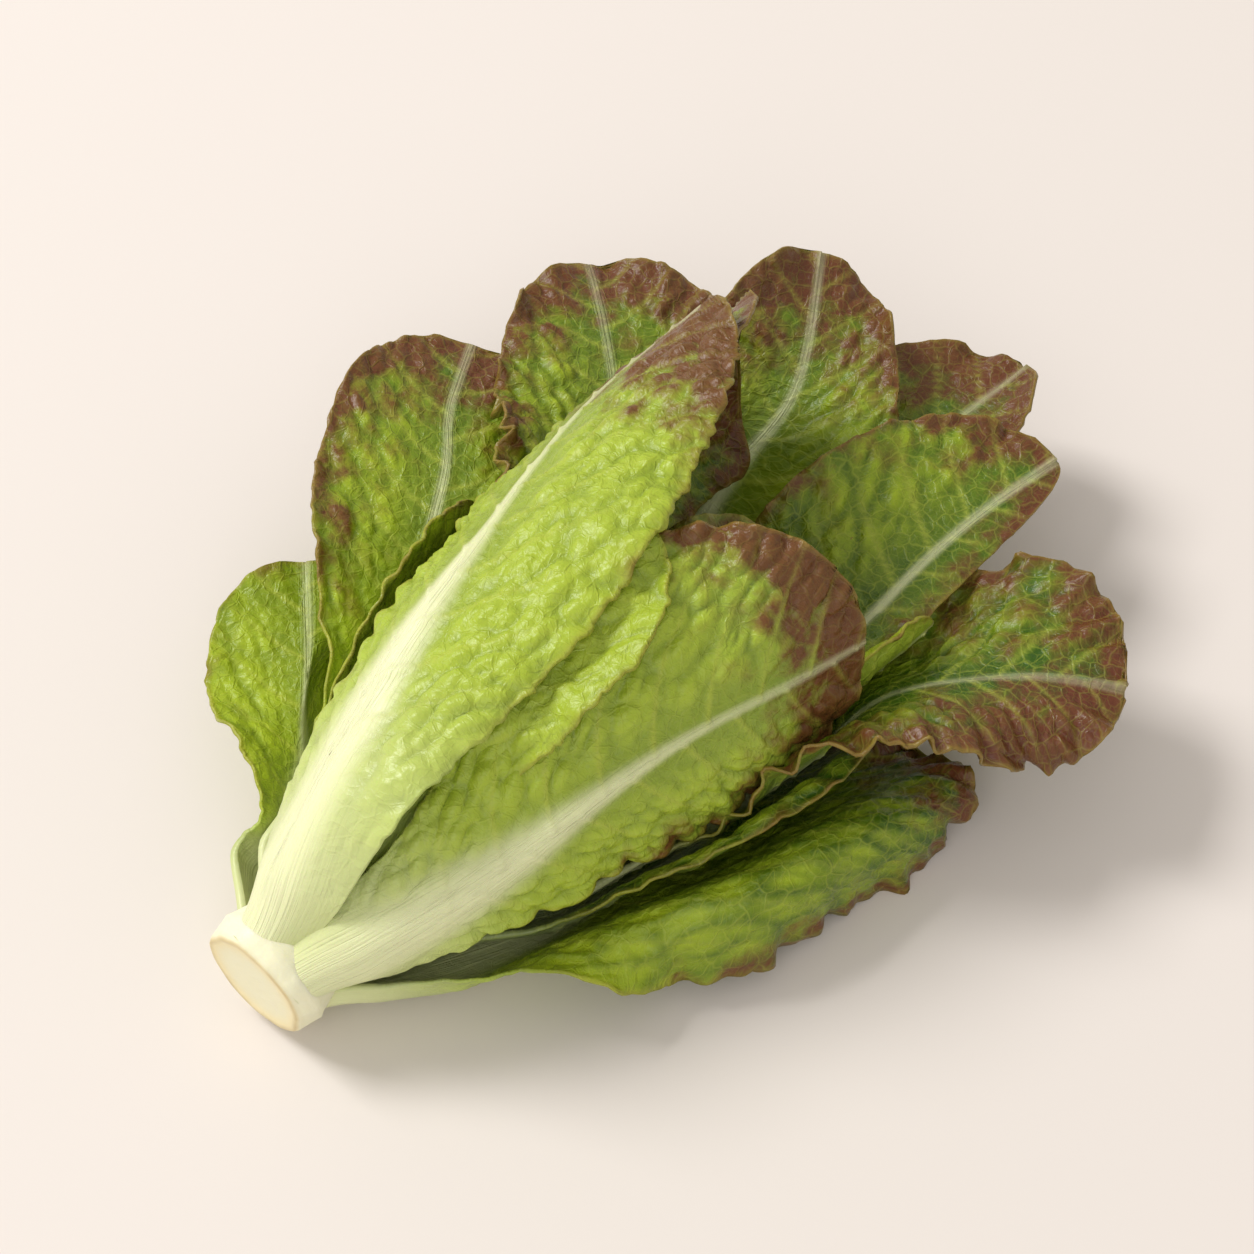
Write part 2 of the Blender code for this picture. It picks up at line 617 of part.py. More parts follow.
def make_stem(shift, finish):
    """The stem, turned round the head's axis, with the flat slanted cut at its near end."""
    turn = np.arange(STEM_SIDES) * 360.0 / STEM_SIDES
    rings = [[stem_point(x, azimuth, radius) for azimuth in turn] for x, radius in STEM_PROFILE]
    points = np.array([head_point(0.0, 0.0, 0.0), *sum(rings, []), head_point(STEM_TIP, 0.0, 0.0)])
    faces = []
    last = len(points) - 1
    for side in range(STEM_SIDES):
        after = (side + 1) % STEM_SIDES
        faces.append((0, 1 + side, 1 + after))
        for ring in range(len(rings) - 1):
            a, b = 1 + ring * STEM_SIDES + side, 1 + ring * STEM_SIDES + after
            faces.append((a, a + STEM_SIDES, b + STEM_SIDES, b))
        faces.append((last, last - STEM_SIDES + after, last - STEM_SIDES + side))
    return add_object("stem", to_table(points) + shift, faces, finish)


def nested_sheets():
    heights = HeightMap()
    sheets = []
    for leaf in LEAVES:
        sheet = Sheet(leaf, ROWS, COLUMNS)
        lay_clear(sheet, heights)
        sheets.append(sheet)
    return sheets


def origin_shift(sheets, press):
    """The move, in millimetres, that sets the origin under the middle of the head."""
    cut = [to_table(stem_point(0.0, azimuth, STEM_CUT_RADIUS))[None] for azimuth in range(0, 360, 5)]
    points = np.concatenate([face.reshape(-1, 3) for sheet in sheets for face in press.faces(sheet)] + cut)
    low, high = points.min(axis=0), points.max(axis=0)
    return np.array([-(low[0] + high[0]) / 2, -(low[1] + high[1]) / 2, -low[2] - REST_FLAT])


def main():
    clear_scene()
    finishes = {name: material(name, colour, roughness) for name, colour, roughness in FINISHES}
    sheets = nested_sheets()
    press = TablePress(sheets)
    shift = origin_shift(sheets, press)
    make_stem(shift, finishes["stem_pale"])
    for sheet in sheets:
        make_leaf(sheet, press, shift, finishes[sheet.leaf.finish])


if __name__ == "__main__":
    main()
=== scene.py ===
"""The looks of a head of red romaine lettuce, cut at the stem and laid on its side.

Frame: metres, +Z up, the table top at z = 0, the cut stem towards -X and the leaf tips towards +X.
The head is shaped in millimetres round its own axis, which rises from the stem towards the tips. A
place in it is (x, azimuth, radius): x along the axis from the cut, azimuth round it with 0 up and 90
towards +Y, radius out from it. Leaves are laid from the heart outwards, each lifted clear of those
inside it, and are then drawn fine, with their veins, blisters, frills and teeth.
"""

import itertools
import logging
import math
from dataclasses import dataclass, field
from enum import Enum

import bmesh
import bpy
import numpy as np
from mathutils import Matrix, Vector


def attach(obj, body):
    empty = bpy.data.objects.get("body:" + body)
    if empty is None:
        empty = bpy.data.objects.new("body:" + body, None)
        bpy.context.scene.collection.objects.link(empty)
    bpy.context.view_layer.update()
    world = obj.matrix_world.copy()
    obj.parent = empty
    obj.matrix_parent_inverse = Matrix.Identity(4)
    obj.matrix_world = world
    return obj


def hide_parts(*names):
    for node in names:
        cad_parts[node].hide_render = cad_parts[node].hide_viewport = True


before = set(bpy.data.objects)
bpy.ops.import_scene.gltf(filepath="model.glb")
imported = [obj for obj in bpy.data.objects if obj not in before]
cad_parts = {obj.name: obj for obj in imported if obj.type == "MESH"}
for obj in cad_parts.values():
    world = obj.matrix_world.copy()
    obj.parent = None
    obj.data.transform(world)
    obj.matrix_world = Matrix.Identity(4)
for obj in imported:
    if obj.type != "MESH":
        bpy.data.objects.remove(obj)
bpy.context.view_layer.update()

Triple = tuple[float, float, float]
Socket = bpy.types.NodeSocket

LOG = logging.getLogger("lettuce")
MM = 0.001

# How the head lies: its axis rises from the stem to the tips, and the cut's centre is above the table.
AXIS_RISE_DEG = 11.0
CUT_HEIGHT = 21.0

# The blades, in millimetres.
BLADE = 0.9
RIB_WIDTH_BASE, RIB_WIDTH_TIP = 10.0, 2.0
LEAF_GAP = 1.3
TIP_ROUNDNESS = 2.3
FULL_WIDTH = 0.68
RUFFLE_REACH = 16.0
ROLL_FROM, ROLL_TO = 0.42, 0.85

# Leaves that would sink below the table are pressed up, the more the lower they are.
PRESS_FROM = 40.0
PRESS_CELL = 6.0
REST_FLAT = 0.5

# The coarse grid that leaves are nested on.
ROWS = 16
LAST_ROW, ROW_EASE = 0.995, 1.25
COLUMNS = (-1.0, -0.78, -0.55, -0.32, -0.12, 0.0, 0.12, 0.32, 0.55, 0.78, 1.0)
CELL_X, CELL_AZIMUTH = 2.5, 2.5
MAP_START, MAP_END = -8.0, 340.0
SAMPLES = 10
LIFT_SAMPLES, LIFT_ROUNDS, LIFT_PASSES, LIFT_EASE = 8, 8, 2, 0.8
SPREAD_FROM = 60.0
LIFT_SLOPE, NORMAL_SMOOTHINGS = 1.4, 2
CORNERS = (
    (slice(None, -1), slice(None, -1)), (slice(1, None), slice(None, -1)),
    (slice(None, -1), slice(1, None)), (slice(1, None), slice(1, None)),
)

# The fine grid that leaves are drawn on: where its last row stands, and how rows close up at the tip.
FINE_LAST_ROW, FINE_ROW_EASE, FINE_EVEN = 0.9996, 1.7, 0.55

# The tips of leaves with calm_tip, which are lifted all alike: how many of the last coarse rows keep
# the lift of the row before them, and the shares of the length round that row over which it evens out.
CALM_ROWS = 4
CALM_FROM, CALM_TO = -0.1, 0.06

# Side veins, in millimetres: how far apart, how they slant to the tip, how wide and how high they stand.
VEIN_SPACING, VEIN_SLANT, VEIN_CURVE, VEIN_WIDTH = 17.0, 0.62, 0.004, 0.9
VEIN_RISE = 0.7

# Blisters: their rise in millimetres; how strongly their puff is painted into the leaf's green round a
# middle height, as painted light on their tops and painted shade in the pits between them; and the
# sizes they come in, as (share of the leaf's cell, share of the rise).
BLISTER_RISE, BLISTER_PAINTED_LIGHT_SHADE, PUFF_MIDDLE = 1.8, 0.65, 0.35
BLISTER_SIZES = ((1.9, 0.55), (1.0, 0.45))

# The margin, in millimetres: its crimps as (wave length, height, turn), its teeth, and how far in each
# reaches. Both fade out near the rib.
FRILL_WAVES = ((15.0, 1.0, 1.0), (8.7, 0.7, 2.3))
FRILL_REACH, TOOTH_REACH, RIB_CLEAR = 7.0, 2.2, 8.0
TOOTH_SPACING, TOOTH_PEAK, TOOTH_SLOPE = 6.2, 0.35, 1.5

# Colour, in millimetres and shares: how far from the rib the base is pale, where the tip is reddest,
# how wide the light margin and the streaked rib are, and how far apart the patterns of two leaves and of
# a leaf's two halves lie.
BASE_PALE, REDDEST = 15.0, 1.04
MARGIN_WIDTH, STREAK_WIDTH = 1.1, 1.2
PATTERN_APART, HALVES_APART = 400.0, 200.0

# Roots, in millimetres: which leaves are outer ones, where outer and inner leaves' bases end as (x,
# radius), how far the root runs, and how much broader the leaves with a wide base are there.
OUTER_START, WIDE_BASE = 14.0, 9.5
OUTER_ROOT, INNER_ROOT = (4.5, 11.5), (13.0, 11.0)
ROOT_REACH, ROOT_EASE = 16.0, 1.6
ROOT_FLARE, FLARE_REACH = 5.0, 55.0

# Where the picture is taken from: degrees, metres and millimetres.
VIEW_AZIMUTH_DEG, VIEW_ELEVATION_DEG = -44.0, 52.0
VIEW_DISTANCE, VIEW_LENS, SENSOR = 0.9, 90.4, 36.0
VIEW_TARGET = (143.04, 0.51, 52.79)


class Slot(Enum):
    """The record's finishes."""

    STEM = "stem_pale"
    HEART = "heart_green"
    GREEN = "leaf_green"
    RED = "leaf_red"


class Detail(Enum):
    """How finely a leaf is drawn: rows from base to tip and columns across."""

    SHOWN = (170, 100)
    EDGE = (110, 72)
    HIDDEN = (70, 44)


class Facing(Enum):
    """Which way a leaf's blisters stand: out from the head or in towards it."""

    OUT = 1.0
    IN = -1.0


@dataclass(frozen=True)
class Look:
    """How one leaf is coloured and crinkled.

    shade runs from base to tip, 0 a deep green and 1 a bright yellow-green. red is how red the tip
    grows from the share red_from on, and red_edge how red the margin is within red_reach millimetres.
    red_sides scales both on the left and right half. With calm_tip the whole tip is lifted alike.
    """

    detail: Detail = Detail.SHOWN
    facing: Facing = Facing.OUT
    shade: tuple[float, ...] = (0.6, 0.5, 0.3)
    pale_to: float = 0.3
    rib_white: float = 0.8
    red: float = 0.6
    red_from: float = 0.7
    red_edge: float = 0.5
    red_reach: float = 9.0
    red_sides: tuple[float, float] = (1.0, 1.0)
    blister: float = 0.9
    cell: float = 7.0
    frill: float = 1.0
    teeth: float = 0.6
    calm_tip: bool = False


@dataclass(frozen=True)
class Leaf:
    """One leaf: where its rib runs, how wide it is, how each half bends, and how its edge waves.

    rib holds (x, azimuth, radius) points. hug holds pairs (left half, right half) at even steps
    from the base to the tip: 1 keeps to the round of the head, 0 is flat, below 0 turns back.
    Left is towards a larger azimuth. roll turns each half's outer third back, in degrees.
    """

    name: str
    rib: tuple[Triple, ...]
    half_width: tuple[float, float]
    base_width: float = 12.0
    widest: tuple[float, float] = (0.68, 0.68)
    hug: tuple[tuple[float, float], ...] = ((1.0, 1.0), (0.9, 0.9), (0.6, 0.6), (0.4, 0.4))
    turn: tuple[float, ...] = (0.0, 0.0, 0.0)
    roll: tuple[tuple[float, float], ...] = ((0.0, 0.0), (0.0, 0.0), (0.0, 0.0))
    waist: float = 1.15
    rib_depth: float = 4.0
    ruffle: float = 3.0
    wave: float = 48.0
    phase: float = 0.0
    slot: Slot = Slot.RED
    look: Look = field(default_factory=Look)


HEART_LOOK = Look(detail=Detail.HIDDEN, shade=(1.0, 0.9, 0.75), red=0.1, red_edge=0.1, blister=0.5)

LEAVES = (
    Leaf(
        name="leaf_heart_top", slot=Slot.HEART, look=HEART_LOOK,
        rib=((48, 20, 7.5), (90, 25, 13), (130, 20, 16), (165, 10, 12)),
        half_width=(24, 24), base_width=6, rib_depth=1.5, ruffle=1.5,
        hug=((1, 1), (0.9, 0.9), (0.8, 0.8), (0.8, 0.8)),
    ),
    Leaf(
        name="leaf_heart_under", slot=Slot.HEART, look=HEART_LOOK,
        rib=((46, -155, 8), (90, -160, 14), (140, -165, 16), (176, -170, 13)),
        half_width=(24, 24), base_width=6, rib_depth=1.5, ruffle=1.5, phase=1.0,
        hug=((1, 1), (0.9, 0.9), (0.8, 0.8), (0.7, 0.7)),
    ),
    Leaf(
        name="leaf_heart_near", slot=Slot.HEART,
        look=Look(detail=Detail.EDGE, shade=(0.9, 0.6, 0.35), red=0.5, red_edge=0.3, blister=0.6),
        rib=((43, -75, 8.5), (100, -70, 18), (150, -60, 22), (192, -45, 18)),
        half_width=(28, 26), base_width=7, rib_depth=1.8, ruffle=1.5, phase=2.0,
        hug=((1, 1), (0.9, 0.9), (0.8, 0.7), (0.6, 0.6)),
    ),
    Leaf(
        name="leaf_inner_top",
        look=Look(detail=Detail.EDGE, facing=Facing.IN, shade=(0.5, 0.35, 0.3), rib_white=0.4,
                  red=0.9, red_from=0.8, red_edge=0.6, red_reach=7, blister=0.6, frill=0.7,
                  calm_tip=True),
        rib=((40, 70, 9), (90, 60, 27), (150, 60, 42), (205, 62, 49), (243, 74, 48)),
        half_width=(55, 34), base_width=5, rib_depth=2.0, ruffle=1.5, phase=0.3, widest=(0.93, 0.7),
        hug=((1, 1), (1.2, 1), (1.6, 1), (1.2, 1)),
    ),
    Leaf(
        name="leaf_long_near",
        look=Look(facing=Facing.IN, shade=(0.75, 0.55, 0.42, 0.4), rib_white=0.9, red=0.7,
                  red_from=0.78, red_edge=0.75, red_reach=8, blister=1.1, frill=1.4),
        rib=((37, -110, 9.5), (100, -106, 30), (150, -106, 41), (191, -108, 44), (224, -116, 43),
             (256, -123, 45), (284, -128, 50)),
        half_width=(13, 46), base_width=5, rib_depth=2.5, ruffle=2.0, phase=1.4,
        turn=(0, -10, -45, -64, -60),
        hug=((1, 1), (0.9, 0.9), (-0.4, 0.5), (-1.2, 0.3)),
    ),
    Leaf(
        name="leaf_far_rib",
        look=Look(facing=Facing.IN, shade=(0.8, 0.75, 0.6, 0.5), rib_white=0.8, red=1.3,
                  red_from=0.74, red_edge=0.6, red_reach=7, blister=1.2, frill=2.4),
        rib=((36, 142, 11.5), (100, 144, 23), (170, 142, 24), (219, 134, 27), (247, 123, 39),
             (269, 105, 47), (284, 97, 56)),
        half_width=(34, 38), base_width=5, rib_depth=2.5, ruffle=3.0, phase=0.8, waist=1.7,
        turn=(0, 0, 20, 40, 40),
        hug=((1, 1), (0.9, 0.9), (0.4, 0.4), (0.1, 0.2)),
    ),
    Leaf(
        name="leaf_long_under",
        look=Look(detail=Detail.EDGE, facing=Facing.IN, shade=(0.5, 0.45, 0.45, 0.4), rib_white=0.7,
                  red=1.0, red_from=0.74, red_edge=0.9, red_reach=9, frill=2.2),
        rib=((32, -175, 11.5), (100, -172, 29), (190, -176, 36), (250, -177, 36), (308, -172, 40)),
        half_width=(28, 42), base_width=5, rib_depth=2.5, ruffle=3.0, phase=2.6,
        hug=((1, 1), (1, 0.9), (1, 0.6), (0.9, 0.5)),
    ),
    Leaf(
        name="leaf_small_near", slot=Slot.GREEN,
        look=Look(detail=Detail.EDGE, shade=(0.7, 0.8, 0.95), red=0.15, red_edge=0.2, frill=0.6),
        rib=((33, -62, 9.5), (90, -84, 31), (150, -98, 46), (185, -104, 53), (212, -106, 57)),
        half_width=(20, 14), base_width=5, rib_depth=2.0, ruffle=1.5, phase=2.2,
        hug=((1, 1), (0.9, 0.9), (0.7, 0.8), (0.2, 0.5)),
        roll=((0, 0), (0, 0), (-50, 0)),
    ),
    Leaf(
        name="leaf_wide_far",
        look=Look(facing=Facing.IN, shade=(0.75, 0.7, 0.6, 0.45), rib_white=0.5, red=0.9,
                  red_from=0.76, red_edge=0.9, red_reach=11, blister=1.2, frill=2.2),
        rib=((26, 112, 12.5), (90, 114, 36), (150, 112, 47), (190, 109, 62), (217, 104, 87),
             (242, 101, 123)),
        half_width=(46, 38), base_width=5, rib_depth=3.0, ruffle=4.0, phase=0.2,
        turn=(0, 0, 15, 45, 62),
        hug=((1, 1), (0.8, 0.8), (0.3, 0.3), (0.1, 0.1)),
    ),
    Leaf(
        name="leaf_front",
        look=Look(shade=(1.0, 0.9, 0.75, 0.55), pale_to=0.36, rib_white=0.9, red=1.05,
                  red_from=0.68, red_edge=0.8, red_reach=9, blister=1.25, cell=6.5, frill=0.9),
        rib=((12.0, -62, 15.5), (50, -58, 37), (85, -58, 47), (123, -60, 55), (154, -68, 58.5),
             (184, -77, 60)),
        half_width=(55, 38), base_width=10.5, rib_depth=4.5, ruffle=2.0, phase=2.0,
        hug=((1, 1), (1, 1), (1.1, 1), (1.15, 0.9)),
    ),
    Leaf(
        name="leaf_under_wrapper", slot=Slot.GREEN,
        look=Look(detail=Detail.EDGE, shade=(0.9, 0.9, 0.85), rib_white=0.3, red=0.0, red_edge=0.15,
                  red_reach=2, blister=0.8, frill=0.5, teeth=1.3),
        rib=((46, -14, 20), (62, -6, 36), (84, 1, 46), (120, 4, 52), (158, 4, 54)),
        half_width=(30, 39), base_width=4, rib_depth=1.6, ruffle=1.5, phase=1.9, waist=0.62,
        hug=((1, 1), (1, 1), (1, 1), (1, 0.9)),
        roll=((0, 0), (0, -25), (0, -50), (0, -50)),
    ),
    Leaf(
        name="leaf_top",
        look=Look(shade=(0.95, 0.9, 0.8, 0.55), pale_to=0.4, rib_white=1.0, red=1.5,
                  red_from=0.64, red_edge=0.25, red_reach=6, blister=1.1,
                  cell=6.5, frill=0.6, teeth=1.7),
        rib=((12.0, 12, 15.5), (31, 11, 28.5), (55, 14, 40), (85, 21, 48), (119, 28, 53.5), (165, 44, 57),
             (200, 54, 57), (229, 58, 55)),
        half_width=(26, 49), base_width=10.5, rib_depth=4.5, ruffle=2.0, phase=0.5,
        widest=(0.68, 0.74), waist=0.8,
        hug=((1, 1), (1.05, 1), (1.1, 1.0), (1.2, 1.1)),
    ),
    Leaf(
        name="leaf_strip_left",
        look=Look(detail=Detail.EDGE, shade=(0.8, 0.7, 0.6), rib_white=0.4, red=0.3, red_from=0.85,
                  red_edge=0.3, red_reach=3, blister=0.6, frill=0.4),
        rib=((24, 80, 11), (60, 92, 38), (100, 97, 51), (128, 97, 56), (148, 96, 58)),
        half_width=(30, 39), base_width=4, rib_depth=2.0, ruffle=1.5, phase=1.2, waist=1.6,
        hug=((1, 1), (1, 1), (0.9, 1), (0.9, 0.95)),
        roll=((0, 0), (0, -20), (0, -30)),
    ),
    Leaf(
        name="leaf_open_left",
        look=Look(facing=Facing.IN, shade=(0.95, 0.85, 0.65, 0.45), rib_white=0.7, red=0.8,
                  red_from=0.66, red_edge=1.0, red_reach=13, red_sides=(1.0, 0.8), blister=0.8,
                  cell=8.0, frill=0.8, calm_tip=True),
        rib=((20, 116, 12), (60, 105, 37), (100, 98, 54), (138, 93, 76), (168, 93, 97), (191, 95, 113)),
        half_width=(50, 38), base_width=5, rib_depth=2.5, ruffle=2.5, phase=0.0, waist=1.5,
        turn=(0, 15, 50, 70, 75),
        hug=((1, 1), (0.6, 0.6), (0.2, 0.4), (0.1, 0.3)),
    ),
    Leaf(
        name="leaf_floor",
        look=Look(detail=Detail.EDGE, shade=(0.7, 0.6, 0.5), red=0.6, red_from=0.75, red_edge=0.6),
        rib=((12.0, 164, 15.5), (60, 172, 34), (120, 178, 44), (190, 178, 54), (250, 174, 60)),
        half_width=(30, 50), base_width=9, rib_depth=3.0, ruffle=3.0, phase=2.4, waist=1.4,
        hug=((1, 1), (1, 0.9), (1, 0.6), (1, 0.3)),
    ),
    Leaf(
        name="leaf_right",
        look=Look(facing=Facing.IN, shade=(0.5, 0.4, 0.3, 0.25), rib_white=0.5, red=0.9,
                  red_from=0.62, red_edge=0.8, red_reach=12, red_sides=(1.2, 0.6), blister=1.2,
                  frill=1.9),
        rib=((45, -118, 12), (62, -119, 32), (120, -110, 52), (150, -104, 58), (178, -100, 62),
             (200, -100, 75), (219, -100, 92), (234, -101, 112)),
        half_width=(32, 44), base_width=4, rib_depth=2.0, ruffle=3.0, phase=0.9,
        widest=(0.8, 0.84), waist=2.6,
        turn=(0, 0, -15, -50, -85),
        hug=((1, 1), (0.9, 0.9), (0.2, 0.9), (-2.2, 0.4)),
        roll=((0, 0), (0, 0), (-20, 0), (-60, 0)),
    ),
    Leaf(
        name="leaf_near_under",
        look=Look(detail=Detail.EDGE, facing=Facing.IN, shade=(0.4, 0.25, 0.1), rib_white=0.3,
                  red=0.5, red_from=0.8, red_edge=0.4, red_reach=6, blister=0.6, frill=0.6),
        rib=((38, -128, 14), (60, -124, 34), (110, -115, 53), (150, -118, 62), (178, -124, 70)),
        half_width=(29, 24), base_width=4.5, rib_depth=2.0, ruffle=1.5, phase=2.9,
        widest=(0.72, 0.68), waist=1.5,
        hug=((1, 1), (0.8, 0.9), (0.6, 0.8), (0.4, 0.6)),
        roll=((0, 0), (-40, 0), (-75, 0), (-60, 0)),
    ),
    Leaf(
        name="leaf_low_left", slot=Slot.GREEN,
        look=Look(facing=Facing.IN, shade=(0.9, 0.85, 0.8), rib_white=0.6, red=0.3, red_from=0.85,
                  red_edge=0.2, blister=0.6, cell=9.0, frill=0.9, teeth=0.9),
        rib=((12.0, 124, 15.5), (40, 114, 32), (72, 104, 64), (104, 97, 100)),
        half_width=(34, 30), base_width=7, rib_depth=3.0, ruffle=3.0, phase=0.4,
        turn=(0, 20, 55, 60),
        hug=((1, 1), (0.5, 0.5), (0.2, 0.2), (0.1, 0.1)),
    ),
    Leaf(
        name="leaf_low_right",
        look=Look(shade=(0.85, 0.7, 0.35, 0.15), rib_white=0.6, red=0.7, red_from=0.75, red_edge=0.7,
                  red_reach=9, blister=0.7, frill=1.5, teeth=0.9),
        rib=((12.0, -138, 15.5), (50, -136, 37), (100, -135, 56), (150, -139, 70), (186, -146, 83)),
        half_width=(84, 36), base_width=9, rib_depth=3.5, ruffle=3.5, phase=1.7,
        widest=(0.76, 0.7), waist=1.15,
        hug=((1, 1), (0.5, 1.4), (0.2, 1.6), (0.0, 1.2)),
        roll=((0, 0), (-30, 0), (-140, 0), (-150, 0), (-130, 0)),
    ),
)


def smoothstep(value: np.ndarray, low: float, high: float) -> np.ndarray:
    """Eases from 0 at low to 1 at high.

    Args:
        value: what is eased.
        low: where the result is still 0.
        high: where the result has reached 1.

    Returns:
        The eased values.
    """
    share = np.clip((value - low) / (high - low), 0.0, 1.0)
    return share * share * (3.0 - 2.0 * share)


def outward(azimuth: np.ndarray) -> np.ndarray:
    """The unit vector out from the head's axis at an azimuth in radians."""
    return np.stack([np.zeros_like(azimuth), np.sin(azimuth), np.cos(azimuth)], axis=-1)


def head_point(x: float, azimuth: float, radius: float) -> np.ndarray:
    """A place in the head as x, y and z round its axis, in millimetres."""
    turn = math.radians(azimuth)
    return np.array([x, radius * math.sin(turn), radius * math.cos(turn)])


def cylindrical(points: np.ndarray) -> tuple[np.ndarray, np.ndarray, np.ndarray]:
    """x, azimuth in degrees from 0 to 360, and radius of points round the head's axis."""
    azimuth = np.degrees(np.arctan2(points[..., 1], points[..., 2])) % 360.0
    return points[..., 0], azimuth, np.hypot(points[..., 1], points[..., 2])


def natural_cubic(knots: np.ndarray, values: np.ndarray, places: np.ndarray) -> np.ndarray:
    """A natural cubic through values at knots.

    Args:
        knots: increasing places of the values.
        values: one row for each knot.
        places: where the cubic is read.

    Returns:
        One row for each place.
    """
    size, steps = len(knots), np.diff(knots)
    system, right = np.eye(size), np.zeros_like(values, dtype=float)
    for i in range(1, size - 1):
        system[i, i - 1:i + 2] = steps[i - 1], 2.0 * (steps[i - 1] + steps[i]), steps[i]
        rise = (values[i + 1] - values[i]) / steps[i]
        right[i] = 6.0 * (rise - (values[i] - values[i - 1]) / steps[i - 1])
    bends = np.linalg.solve(system, right)
    span = np.clip(np.searchsorted(knots, places, side="right") - 1, 0, size - 2)
    width = steps[span][:, None]
    after = (places - knots[span])[:, None]
    before = width - after
    return (
        bends[span] * before**3 / (6 * width)
        + bends[span + 1] * after**3 / (6 * width)
        + (values[span] / width - bends[span] * width / 6) * before
        + (values[span + 1] / width - bends[span + 1] * width / 6) * after
    )


def smooth_path(points: np.ndarray, count: int) -> tuple[np.ndarray, float]:
    """A natural cubic through the points, resampled at even arc lengths.

    Args:
        points: the path's control points.
        count: how many points it is resampled to.

    Returns:
        The points and the path's length.
    """
    knots = np.concatenate([[0.0], np.cumsum(np.linalg.norm(np.diff(points, axis=0), axis=1))])
    curve = natural_cubic(knots, points, np.linspace(0.0, knots[-1], 200))
    lengths = np.concatenate([[0.0], np.cumsum(np.linalg.norm(np.diff(curve, axis=0), axis=1))])
    even = np.linspace(0.0, lengths[-1], count)
    return np.stack([np.interp(even, lengths, curve[:, k]) for k in range(3)], axis=1), lengths[-1]


def along(values: tuple, share: np.ndarray) -> np.ndarray:
    """Values given at even steps from base to tip, eased between, at a share of the way."""
    steps = np.asarray(values, float)
    place = np.clip(share, 0.0, 1.0) * (len(steps) - 1)
    low = np.minimum(place.astype(int), len(steps) - 2)
    part = smoothstep(place - low, 0.0, 1.0)
    return steps[low] * (1.0 - part) + steps[low + 1] * part


def round_off(share: np.ndarray) -> np.ndarray:
    """How wide a rounded tip still is at a share of the way through it."""
    return (1.0 - share**TIP_ROUNDNESS) ** (1.0 / TIP_ROUNDNESS)


def smoothed(grid: np.ndarray) -> np.ndarray:
    """The grid with each value drawn to its neighbours', and the border's kept in line."""
    for axis in (0, 1):
        padded = np.concatenate([grid.take([0], axis), grid, grid.take([-1], axis)], axis)
        count = padded.shape[axis]
        grid = sum(share * padded.take(range(start, count - 2 + start), axis)
                   for share, start in ((0.25, 0), (0.5, 1), (0.25, 2)))
    return grid


def widened(grid: np.ndarray) -> np.ndarray:
    """The grid with each value as high as its highest neighbour."""
    for axis in (0, 1):
        grid = np.maximum(grid, np.maximum(np.roll(grid, 1, axis), np.roll(grid, -1, axis)))
    return grid


def unit(vectors: np.ndarray) -> np.ndarray:
    """The vectors at length 1."""
    return vectors / np.maximum(np.linalg.norm(vectors, axis=-1, keepdims=True), 1e-9)


def corner_weights(up: float, across: float, columns: int) -> list[np.ndarray]:
    """What a cell's four corners each give to a place in it, as the cell's two triangles carry them."""
    ahead = (1 - max(up, across), max(up - across, 0), max(across - up, 0), min(up, across))
    back = (max(1 - up - across, 0), min(up, 1 - across), min(across, 1 - up), max(up + across - 1, 0))
    first_half = np.arange(columns - 1)[None, :] < columns // 2
    return [np.where(first_half, a, b) for a, b in zip(ahead, back)]


def blend(grid: np.ndarray, up: float, across: float) -> np.ndarray:
    """The grid's values at the same place inside every cell."""
    shares = corner_weights(up, across, grid.shape[1])
    return sum(share[..., None] * grid[corner] if grid.ndim == 3 else share * grid[corner]
               for share, corner in zip(shares, CORNERS))


def to_table(points: np.ndarray) -> np.ndarray:
    """Head millimetres to millimetres over the table."""
    rise = math.radians(AXIS_RISE_DEG)
    x, y, z = points[..., 0], points[..., 1], points[..., 2]
    return np.stack(
        [x * math.cos(rise) - z * math.sin(rise), y, CUT_HEIGHT + x * math.sin(rise) + z * math.cos(rise)],
        axis=-1,
    )


def scattered_cells(place: np.ndarray, size: float, seed: float) -> tuple[np.ndarray, np.ndarray]:
    """Distances to the nearest two of the points scattered one to a square.

    Args:
        place: places in a plane, in millimetres.
        size: the squares' side.
        seed: sets the scatter.

    Returns:
        The distance to the nearest point and to the second, as shares of size.
    """
    cell = np.floor(place / size)
    nearest = np.full(place.shape[:-1], np.inf)
    second = nearest.copy()
    for step in itertools.product((-1.0, 0.0, 1.0), repeat=2):
        corner = cell + np.array(step)
        mix = corner[..., 0] * 127.1 + corner[..., 1] * 311.7 + seed * 17.3
        jitter = np.stack([np.sin(mix) * 437.585, np.sin(mix + 1.7) * 231.421], axis=-1) % 1.0
        gap = np.linalg.norm(corner + jitter - place / size, axis=-1)
        second = np.minimum(second, np.maximum(nearest, gap))
        nearest = np.minimum(nearest, gap)
    return nearest, second


def coarse_shares() -> np.ndarray:
    """Where the coarse grid's rows stand, as shares of a leaf's length."""
    up = np.linspace(0.0, 1.0, ROWS + 1)
    eased = 1.0 - (1.0 - up) ** ROW_EASE
    return LAST_ROW * (0.75 * eased + 0.25 * smoothstep(up, 0.0, 1.0))


